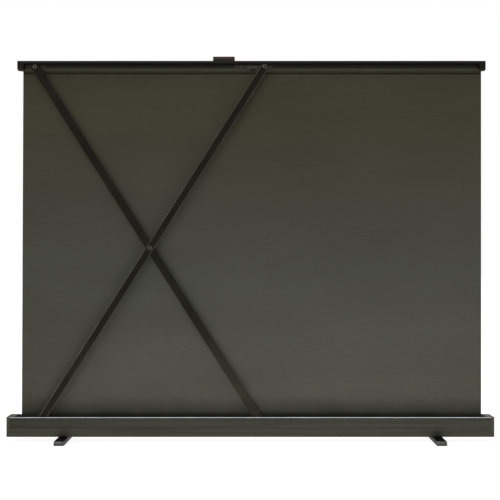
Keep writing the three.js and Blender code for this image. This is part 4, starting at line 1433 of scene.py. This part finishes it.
def spring_tree():
    """The spring as a helix along Z from the origin."""
    tree, given = new_tree("torsion_spring", {
        "Turns": float(spring_turns), "Coil radius": spring_radius, "Wire radius": spring_wire,
        "Length": spring_length, "First turn's share": grip_share,
        "Last turn's share": anchor_share, "Steps a turn": 28, "Sides": 10,
    })
    helix = add_node(tree, "GeometryNodeCurveSpiral", {
        "Resolution": given["Steps a turn"], "Rotations": given["Turns"],
        "Start Radius": given["Coil radius"], "End Radius": given["Coil radius"],
        "Height": given["Length"],
    })
    along = add_node(tree, "GeometryNodeSplineParameter").outputs["Factor"]
    turn = math_of(tree, "MULTIPLY", along, given["Turns"])
    past = math_of(tree, "SUBTRACT", turn, math_of(tree, "SUBTRACT", given["Turns"], 1.0))
    opening = spread(tree, turn, given["First turn's share"], 1.0, 0, 1)
    widening = spread(tree, past, 1.0, given["Last turn's share"], 0, 1)
    share = math_of(tree, "MULTIPLY", opening, widening)
    place = add_node(tree, "GeometryNodeInputPosition").outputs[0]
    across = [math_of(tree, "MULTIPLY", part_of(tree, place, axis), share) for axis in "XY"]
    place = vector_of(tree, X=across[0], Y=across[1], Z=part_of(tree, place, "Z"))
    coil = add_node(
        tree, "GeometryNodeSetPosition", {"Geometry": helix.outputs[0], "Position": place}
    )
    wire = add_node(
        tree, "GeometryNodeCurvePrimitiveCircle",
        {"Resolution": given["Sides"], "Radius": given["Wire radius"]},
    )
    end_tree(tree, swept_in(tree, coil.outputs[0], wire.outputs[0], True), spring_finish)
    return tree


spring_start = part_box("roller_tube")[0].x + spring_inset
coil = settled(grown("coil", spring_tree()))
# The helix's X, Y and axis become Y, -Z and X of the frame, so it winds as the real one does.
onto_rod = Matrix(((0, 0, 1, 0), (1, 0, 0, 0), (0, -1, 0, 0), (0, 0, 0, 1)))
coil.data.transform(Matrix.Translation((spring_start, roller_middle.y, roller_middle.z)) @ onto_rod)
joined("spring_coil", [coil], "case", spring_finish, ["roller_spring"])

# %% [markdown]
# ## The screen
#
# Raised, the cloth is stretched flat between the roller and the hem. It is one thin closed slab
# with three faces to the world: the woven backing, the white picture and its black border. When
# the arms fold, the real cloth winds onto the roller.

# %% Screen
picture_low = Vector((-1011 * mm, 0, 137.1 * mm))
picture_high = Vector((1021 * mm, 0, 1661.1 * mm))
cells = 24
edge_lean = 7 * mm
back_slot, picture_slot, border_slot = range(3)


def between(stops, count):
    """The stops with even steps between them, count of them in all or a little more."""
    span = stops[-1] - stops[0]
    places = []
    for low, high in zip(stops, stops[1:]):
        steps = max(1, round(count * (high - low) / span))
        places += [low + (high - low) * step / steps for step in range(steps)]
    return [*places, stops[-1]]


def leaned(x, z):
    """The cloth's left edge leans in towards the top, and its right edge is upright."""
    share = (sheet_high.x - x) / (sheet_high.x - sheet_low.x)
    return x + edge_lean * share * (z - sheet_low.z) / (sheet_high.z - sheet_low.z)


def front_slot(x, z):
    """The picture's slot inside its limits, and the border's outside them."""
    inside = picture_low.x < x < picture_high.x and picture_low.z < z < picture_high.z
    return picture_slot if inside else border_slot


def screen_mesh():
    """The raised cloth as a closed slab: a grid behind, a grid in front and a rim."""
    xs = between([sheet_low.x, picture_low.x, picture_high.x, sheet_high.x], cells)
    zs = between([sheet_low.z, picture_low.z, picture_high.z, sheet_high.z], cells)
    last_x, last_z = len(xs) - 1, len(zs) - 1
    work = bmesh.new()
    back, front = [
        [[work.verts.new((leaned(x, z), y, z)) for z in zs] for x in xs]
        for y in (sheet_low.y, sheet_high.y)
    ]
    for layer in (back, front):
        for i in range(last_x):
            for k in range(last_z):
                corners = (layer[i][k], layer[i + 1][k], layer[i + 1][k + 1], layer[i][k + 1])
                middle = (xs[i] + xs[i + 1]) / 2, (zs[k] + zs[k + 1]) / 2
                face = work.faces.new(corners)
                face.material_index = back_slot if layer is back else front_slot(*middle)
    rim = [(i, 0) for i in range(last_x)] + [(last_x, k) for k in range(last_z)]
    rim += [(i, last_z) for i in range(last_x, 0, -1)] + [(0, k) for k in range(last_z, 0, -1)]
    for (i, k), (j, m) in zip(rim, rim[1:] + rim[:1]):
        face = work.faces.new((back[i][k], back[j][m], front[j][m], front[i][k]))
        face.material_index = border_slot
    bmesh.ops.recalc_face_normals(work, faces=work.faces)
    mesh = mesh_of("screen_cloth", work)
    cloth_map(mesh, lambda place: place.z)
    for finish in (back_finish, picture_finish, border_finish):
        mesh.materials.append(finish)
    return mesh


screen = linked("screen_cloth", screen_mesh())
hand_over(screen, "case", None, ["screen_fabric"])
print("screen:", len(screen.data.polygons), "faces")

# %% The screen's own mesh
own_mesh(screen)
